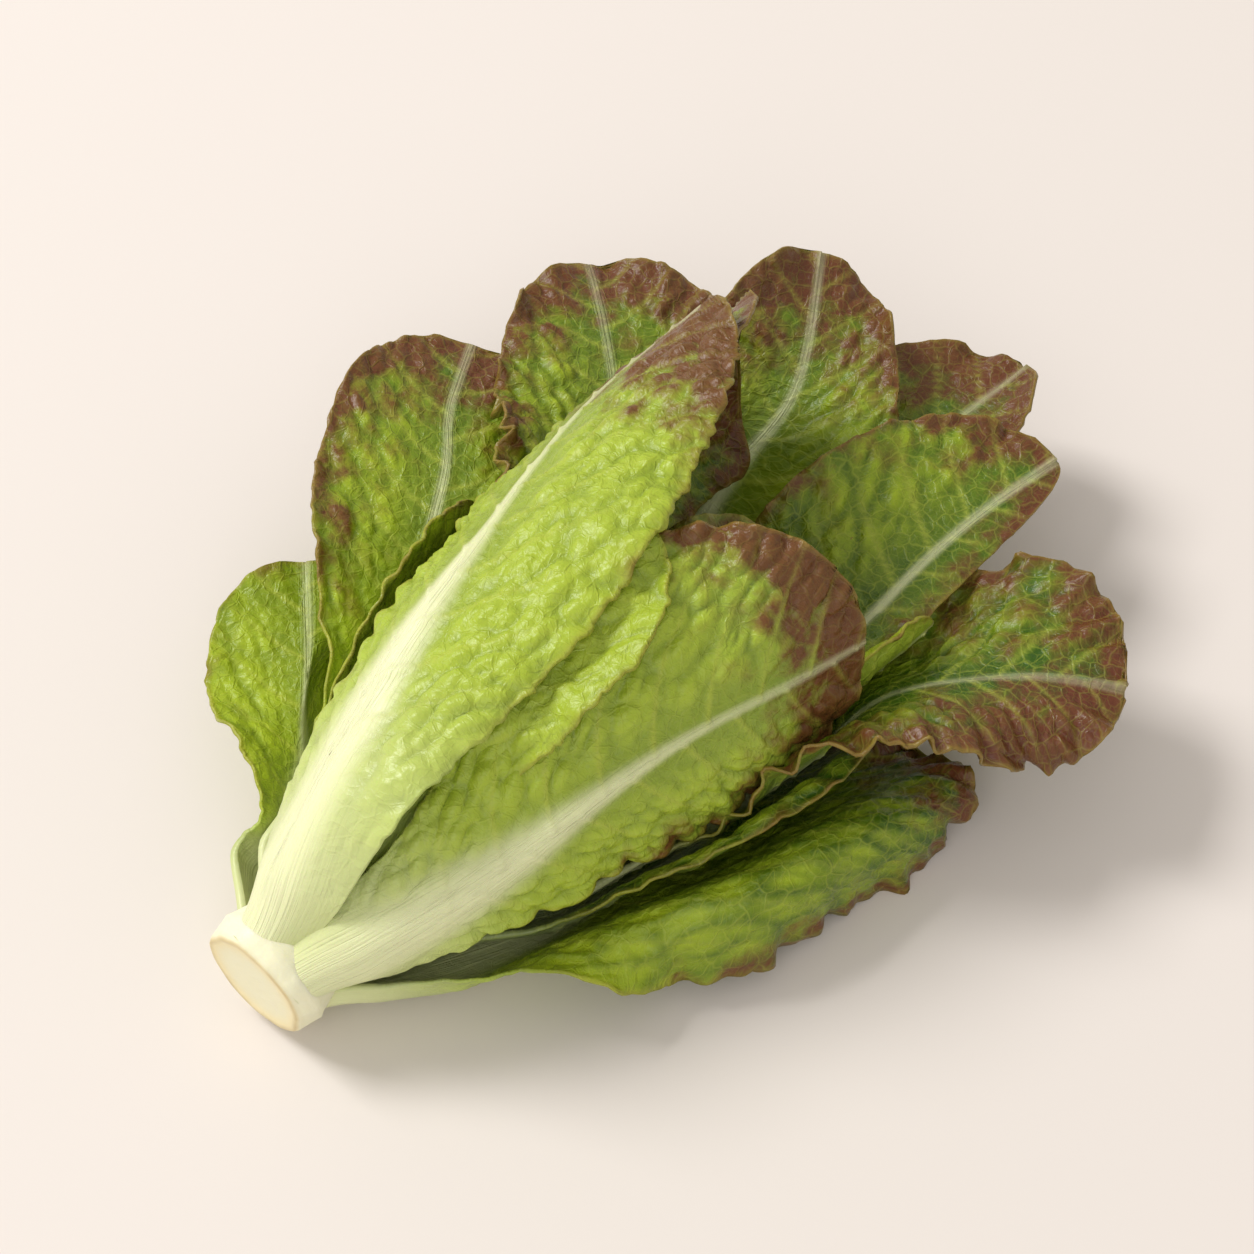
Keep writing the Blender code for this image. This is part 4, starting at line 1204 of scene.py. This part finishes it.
@dataclass(frozen=True)
class StemSkin:
    """The stem's finish: cream flesh on the cut, with a tan rim and faint rings, and white outside.

    It reads the stem's stem_marks: 1 on the cut face, the share of its radius, and 1 on its rim. The
    rings are ring_turns radians apart over the radius, bent by ring_wobble.
    """

    slot: Slot = Slot.STEM
    flesh: Triple = (0.90, 0.79, 0.47)
    core: Triple = (0.84, 0.74, 0.42)
    rim: Triple = (0.50, 0.36, 0.14)
    outside: Triple = (0.88, 0.86, 0.62)
    ring_turns: float = 26.0
    ring_wobble: float = 5.0
    ring_share: float = 0.04
    speckle_share: float = 0.5
    rim_patches: float = 1.4

    def material(self) -> bpy.types.Material:
        """Builds the finish.

        Returns:
            The material.
        """
        made, wire, shader = new_finish(self.slot.value)
        cut, ring, rim = wire.parts(wire.attribute("stem_marks"))
        place = wire.add("ShaderNodeTexCoord").outputs["Object"]
        speckle = wire.noise(place, Scale=420.0, Detail=4.0).outputs["Fac"]
        patch = wire.noise(place, Scale=90.0, Detail=3.0).outputs["Fac"]
        rings = wire.math("SINE", wire.line(patch, self.ring_wobble, wire.times(ring, self.ring_turns)))
        ring_share = wire.line(rings, self.ring_share, wire.times(speckle, self.speckle_share))
        flesh = wire.mix(ring_share, self.flesh, self.core)
        skin = wire.mix(cut, self.outside, flesh)
        worn = wire.times(rim, wire.line(patch, self.rim_patches, -0.1))
        wire.set(shader, {
            "Base Color": wire.mix(worn, skin, self.rim),
            "Normal": wire.bump(speckle, 0.6, 0.0005),
            "Roughness": 0.5,
            "Coat Weight": 0.15,
            "Coat Roughness": 0.3,
            "Subsurface Weight": 0.25,
            "Subsurface Radius": (1.0, 0.9, 0.5),
            "Subsurface Scale": 0.003,
        })
        return made


def set_attribute(mesh: bpy.types.Mesh, name: str, values: np.ndarray) -> None:
    """Writes a vector for each vertex to the mesh's own attribute."""
    made = mesh.attributes.new(name, "FLOAT_VECTOR", "POINT")
    made.data.foreach_set("vector", values.astype(np.float32).reshape(-1))


def add_piece(name: str, shape: bmesh.types.BMesh, finish: bpy.types.Material) -> bpy.types.Object:
    """Makes an object of a finished bmesh, smooth and with its finish.

    Args:
        name: the piece's name.
        shape: its mesh, in metres, which is freed.
        finish: its material.

    Returns:
        The object, at the origin.
    """
    mesh = bpy.data.meshes.new(name)
    shape.to_mesh(mesh)
    shape.free()
    mesh.materials.append(finish)
    mesh.shade_smooth()
    obj = bpy.data.objects.new(name, mesh)
    bpy.context.scene.collection.objects.link(obj)
    return obj


@dataclass
class Stem:
    """The stem, turned round the head's axis, with its flat, slanted cut at the near end.

    Lengths are in millimetres. dish is how deep the cut face is dished. The cut slants by slant_deg
    towards slant_azimuth, and the collar takes up the slant over slant_reach. lobes are the collar's
    bulges as (height, how many go round, turn).
    """

    cut_radius: float = 16.5
    collar_radius: float = 19.0
    collar_length: float = 8.0
    neck_radius: float = 13.6
    tip: float = 63.0
    sides: int = 96
    dish: float = 0.5
    slant_deg: float = 10.0
    slant_azimuth: float = -27.0
    slant_reach: float = 5.0
    lobes: tuple[tuple[float, int, float], ...] = ((0.35, 5, 0.6), (0.2, 11, 0.0))
    rim_width: float = 0.05
    rim_reach: float = 2.5

    def profile(self) -> tuple[tuple[float, float], ...]:
        """The stem's outline as (x, radius) points from the cut inwards."""
        return (
            (0.0, self.cut_radius),
            (1.0, self.cut_radius + 0.9),
            (4.5, self.collar_radius - 0.8),
            (self.collar_length, self.collar_radius),
            (self.collar_length + 0.8, self.neck_radius),
            (25.0, 10.5),
            (45.0, 6.5),
            (60.0, 3.0),
        )

    def slanted(self, x: float, azimuth: float, radius: float) -> float:
        """How far the cut's slant moves a point of the stem along it."""
        lean = radius * math.cos(math.radians(azimuth - self.slant_azimuth))
        return math.tan(math.radians(self.slant_deg)) * lean * max(1.0 - x / self.slant_reach, 0.0)

    def cut_ring(self) -> np.ndarray:
        """The edge of the cut, as points in the head."""
        return np.array([head_point(self.slanted(0.0, azimuth, self.cut_radius), azimuth, self.cut_radius)
                         for azimuth in range(0, 360, 5)])

    def outline(self) -> list[tuple[float, float]]:
        """The finer outline that is spun: the dished cut face, its rim and the outside."""
        face = [(self.dish * (1.0 - (r / self.cut_radius) ** 6), r)
                for r in np.linspace(0.0, self.cut_radius - 0.4, 14)]
        knots = np.array(self.profile()[:4])
        collar = [(x, float(np.interp(x, knots[:, 0], knots[:, 1])))
                  for x in np.linspace(0.15, self.collar_length, 9)]
        neck = [(9.5, 18.4), (13.0, 17.4), (20.0, 15.5), (32.0, 11.5), (46.0, 7.0), (60.0, 3.0)]
        return face + collar + neck + [(self.tip, 0.0)]

    def build(self, shift: np.ndarray, finish: bpy.types.Material) -> bpy.types.Object:
        """Spins the outline, gives the collar its lobes, and lays the stem in the head.

        Args:
            shift: the head's move over the table, in millimetres.
            finish: the stem's material.

        Returns:
            The piece.
        """
        shape = bmesh.new()
        points = [shape.verts.new((x, 0.0, radius)) for x, radius in self.outline()]
        edges = [shape.edges.new(pair) for pair in zip(points, points[1:])]
        bmesh.ops.spin(shape, geom=points + edges, cent=(0, 0, 0), axis=(1, 0, 0),
                       angle=2 * math.pi, steps=self.sides, use_merge=True)
        bmesh.ops.remove_doubles(shape, verts=shape.verts, dist=1e-4)
        bmesh.ops.recalc_face_normals(shape, faces=shape.faces)
        marks = []
        for vertex in shape.verts:
            x, azimuth, radius = cylindrical(np.array(vertex.co))
            face = float(smoothstep(np.array(0.6 - x), 0.0, 0.4))
            lobes = sum(height * math.sin(math.radians(azimuth) * count + turn)
                        for height, count, turn in self.lobes)
            lobes *= float(smoothstep(np.array(radius), 10.0, 16.0)) * (x < self.collar_length + 0.1)
            share = radius / self.cut_radius
            rim = math.exp(-((share - 1.0) / self.rim_width) ** 2) if x < self.rim_reach else 0.0
            marks.append((face, share, rim))
            x += self.slanted(x, azimuth, radius)
            vertex.co = (to_table(head_point(x, azimuth, radius + lobes)) + shift) * MM
        piece = add_piece("stem_butt", shape, finish)
        set_attribute(piece.data, "stem_marks", np.array(marks))
        return piece


@dataclass
class LeafPiece:
    """A fine leaf as one closed mesh."""

    nested: Sheet

    def build(self, press: TablePress, shift: np.ndarray, finish: bpy.types.Material) -> bpy.types.Object:
        """Makes the leaf from a grid, whose extruded copy is its outer face.

        Args:
            press: keeps the leaf above the table.
            shift: the head's move over the table, in millimetres.
            finish: the leaf's material.

        Returns:
            The piece.
        """
        sheet = FineSheet(self.nested)
        inner, outer = (points + shift for points in press.faces(sheet))
        sunk = np.maximum(-np.minimum(inner[..., 2], outer[..., 2]), 0.0)
        inner[..., 2] += sunk
        outer[..., 2] += sunk
        rows, columns = sheet.share.shape
        shape = bmesh.new()
        bmesh.ops.create_grid(shape, x_segments=columns - 1, y_segments=rows - 1, size=1.0)
        place = shape.verts.layers.int.new("place")
        for number, vertex in enumerate(shape.verts):
            vertex[place] = number
        made = bmesh.ops.extrude_face_region(shape, geom=shape.faces[:], use_keep_orig=True)
        copied = {v for v in made["geom"] if isinstance(v, bmesh.types.BMVert)}
        faces = (inner.reshape(-1, 3) * MM, outer.reshape(-1, 3) * MM)
        sides = np.zeros(len(shape.verts), int)
        numbers = np.zeros(len(shape.verts), int)
        for index, vertex in enumerate(shape.verts):
            sides[index] = vertex in copied
            numbers[index] = vertex[place]
            vertex.co = faces[sides[index]][numbers[index]]
        bmesh.ops.recalc_face_normals(shape, faces=shape.faces)
        if shape.calc_volume(signed=True) < 0:
            bmesh.ops.reverse_faces(shape, faces=shape.faces)
        piece = add_piece(f"{sheet.leaf.name}_blade", shape, finish)
        self.mark(piece.data, sheet, sides, numbers)
        return piece

    @staticmethod
    def mark(mesh: bpy.types.Mesh, sheet: FineSheet, sides: np.ndarray, numbers: np.ndarray) -> None:
        """Writes what the leaf's finish reads to the mesh's attributes.

        Args:
            mesh: the leaf's mesh.
            sheet: the fine sheet it came from.
            sides: 0 for a vertex of the inner face and 1 for one of the outer.
            numbers: each vertex's place in the sheet's grid.
        """
        def spread(*grids: np.ndarray) -> np.ndarray:
            """Grids as one row of numbers for each vertex."""
            return np.stack([grid.reshape(-1)[numbers] for grid in grids], axis=1)

        sign = sheet.sided(1.0, -1.0)
        up = sheet.share * sheet.length + PATTERN_APART * sheet.leaf.phase
        plane = np.column_stack([spread(up, sheet.distance * sign), sides])
        # The shade holds the leaf's own green tone plus painted light on blister tops and painted shade in
        # the pits between them.
        shade = along(sheet.leaf.look.shade, sheet.share) + BLISTER_PAINTED_LIGHT_SHADE * (sheet.puff - PUFF_MIDDLE)
        margin = np.exp(-((sheet.inward / MARGIN_WIDTH) ** 2)) * smoothstep(sheet.share, 0.2, 0.4)
        rib = np.exp(-((sheet.distance / (STREAK_WIDTH * sheet.rib_width())) ** 2))
        set_attribute(mesh, "plane", plane)
        set_attribute(mesh, "tone", spread(sheet.paleness(), sheet.redness(), shade))
        set_attribute(mesh, "marks", spread(sheet.side_vein, margin, rib))


@dataclass
class Head:
    """The whole head: the stem and the leaves, nested from the heart outwards."""

    stem: Stem = field(default_factory=Stem)

    def nested_sheets(self) -> list[Sheet]:
        """The coarse sheets, each laid clear of those inside it."""
        heights = HeightMap(self.stem)
        sheets = []
        for leaf in LEAVES:
            sheet = Sheet(leaf, coarse_shares(), np.array(COLUMNS))
            heights.lay_clear(sheet)
            sheets.append(sheet)
        return sheets

    def origin_shift(self, sheets: list[Sheet], press: TablePress) -> np.ndarray:
        """The move, in millimetres, that sets the origin under the middle of the head."""
        faces = [face.reshape(-1, 3) for sheet in sheets for face in press.faces(sheet)]
        points = np.concatenate([*faces, to_table(self.stem.cut_ring())])
        low, high = points.min(axis=0), points.max(axis=0)
        return np.array([-(low[0] + high[0]) / 2, -(low[1] + high[1]) / 2, -low[2] - REST_FLAT])

    def build(self) -> np.ndarray:
        """Builds every piece and sets it on the frame.

        Returns:
            The head's move over the table, in millimetres.
        """
        skins = {slot: LeafSkin(slot).material() for slot in (Slot.HEART, Slot.GREEN, Slot.RED)}
        sheets = self.nested_sheets()
        press = TablePress(sheets)
        shift = self.origin_shift(sheets, press)
        self.attach(self.stem.build(shift, StemSkin().material()), "stem", Slot.STEM)
        for sheet in sheets:
            piece = LeafPiece(sheet).build(press, shift, skins[sheet.leaf.slot])
            self.attach(piece, sheet.leaf.name, sheet.leaf.slot)
        return shift

    @staticmethod
    def attach(piece: bpy.types.Object, node: str, slot: Slot) -> None:
        """Sets a piece on the body, in place of its node."""
        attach(piece, "root")
        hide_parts(node)
        LOG.info("%s: %d faces, in place of %s", piece.name, len(piece.data.polygons), node)


@dataclass(frozen=True)
class Lamp:
    """A soft square light that faces the head, in metres and watts."""

    name: str
    place: Triple
    size: float
    power: float
    colour: Triple = (1.0, 0.985, 0.965)

    def hang(self) -> None:
        """Puts the light in the scene."""
        data = bpy.data.lights.new(self.name, "AREA")
        data.size = self.size
        data.energy = self.power
        data.color = self.colour
        lamp = bpy.data.objects.new(self.name, data)
        lamp.location = self.place
        lamp.rotation_euler = (-Vector(self.place)).to_track_quat("-Z", "Y").to_euler()
        bpy.context.scene.collection.objects.link(lamp)


@dataclass
class Studio:
    """The pale floor, the soft light and the camera."""

    floor_size: float = 6.0
    floor_colour: Triple = (0.79, 0.735, 0.70)
    lamps: tuple[Lamp, ...] = (
        Lamp("key", (-1.0, 2.5, 2.95), 1.4, 112.0),
        Lamp("fill", (-2.6, -1.8, 2.4), 2.8, 36.0),
    )
    sky: Triple = (1.0, 0.955, 0.885)
    sky_strength: float = 0.55

    def build(self, shift: np.ndarray) -> None:
        """Sets up the floor, the lights and the camera round the head.

        Args:
            shift: the head's move over the table, in millimetres.
        """
        self.floor()
        for lamp in self.lamps:
            lamp.hang()
        world = bpy.data.worlds.new("studio")
        world.use_nodes = True
        background = world.node_tree.nodes["Background"]
        background.inputs["Color"].default_value = (*self.sky, 1.0)
        background.inputs["Strength"].default_value = self.sky_strength
        bpy.context.scene.world = world
        bpy.context.scene.view_settings.view_transform = "Standard"
        self.camera(Vector((np.array(VIEW_TARGET) + shift) * MM))

    def floor(self) -> None:
        """A plain pale floor."""
        shape = bmesh.new()
        bmesh.ops.create_grid(shape, x_segments=1, y_segments=1, size=self.floor_size / 2)
        made, wire, shader = new_finish("floor_paper")
        wire.set(shader, {"Base Color": (*self.floor_colour, 1.0), "Roughness": 0.9})
        add_piece("floor", shape, made)

    @staticmethod
    def camera(target: Vector) -> None:
        """The camera, at the photograph's angle and distance."""
        azimuth, elevation = math.radians(VIEW_AZIMUTH_DEG), math.radians(VIEW_ELEVATION_DEG)
        back = Vector((math.sin(azimuth) * math.cos(elevation), -math.cos(azimuth) * math.cos(elevation),
                       math.sin(elevation)))
        data = bpy.data.cameras.new("view")
        data.lens = VIEW_LENS
        data.sensor_width = SENSOR
        view = bpy.data.objects.new("view", data)
        view.location = target + back * VIEW_DISTANCE
        view.rotation_euler = (-back).to_track_quat("-Z", "Y").to_euler()
        bpy.context.scene.collection.objects.link(view)
        bpy.context.scene.camera = view


def main() -> None:
    """Builds the head and the studio."""
    logging.basicConfig(level=logging.INFO, format="%(message)s")
    shift = Head().build()
    Studio().build(shift)


if __name__ == "__main__":
    main()
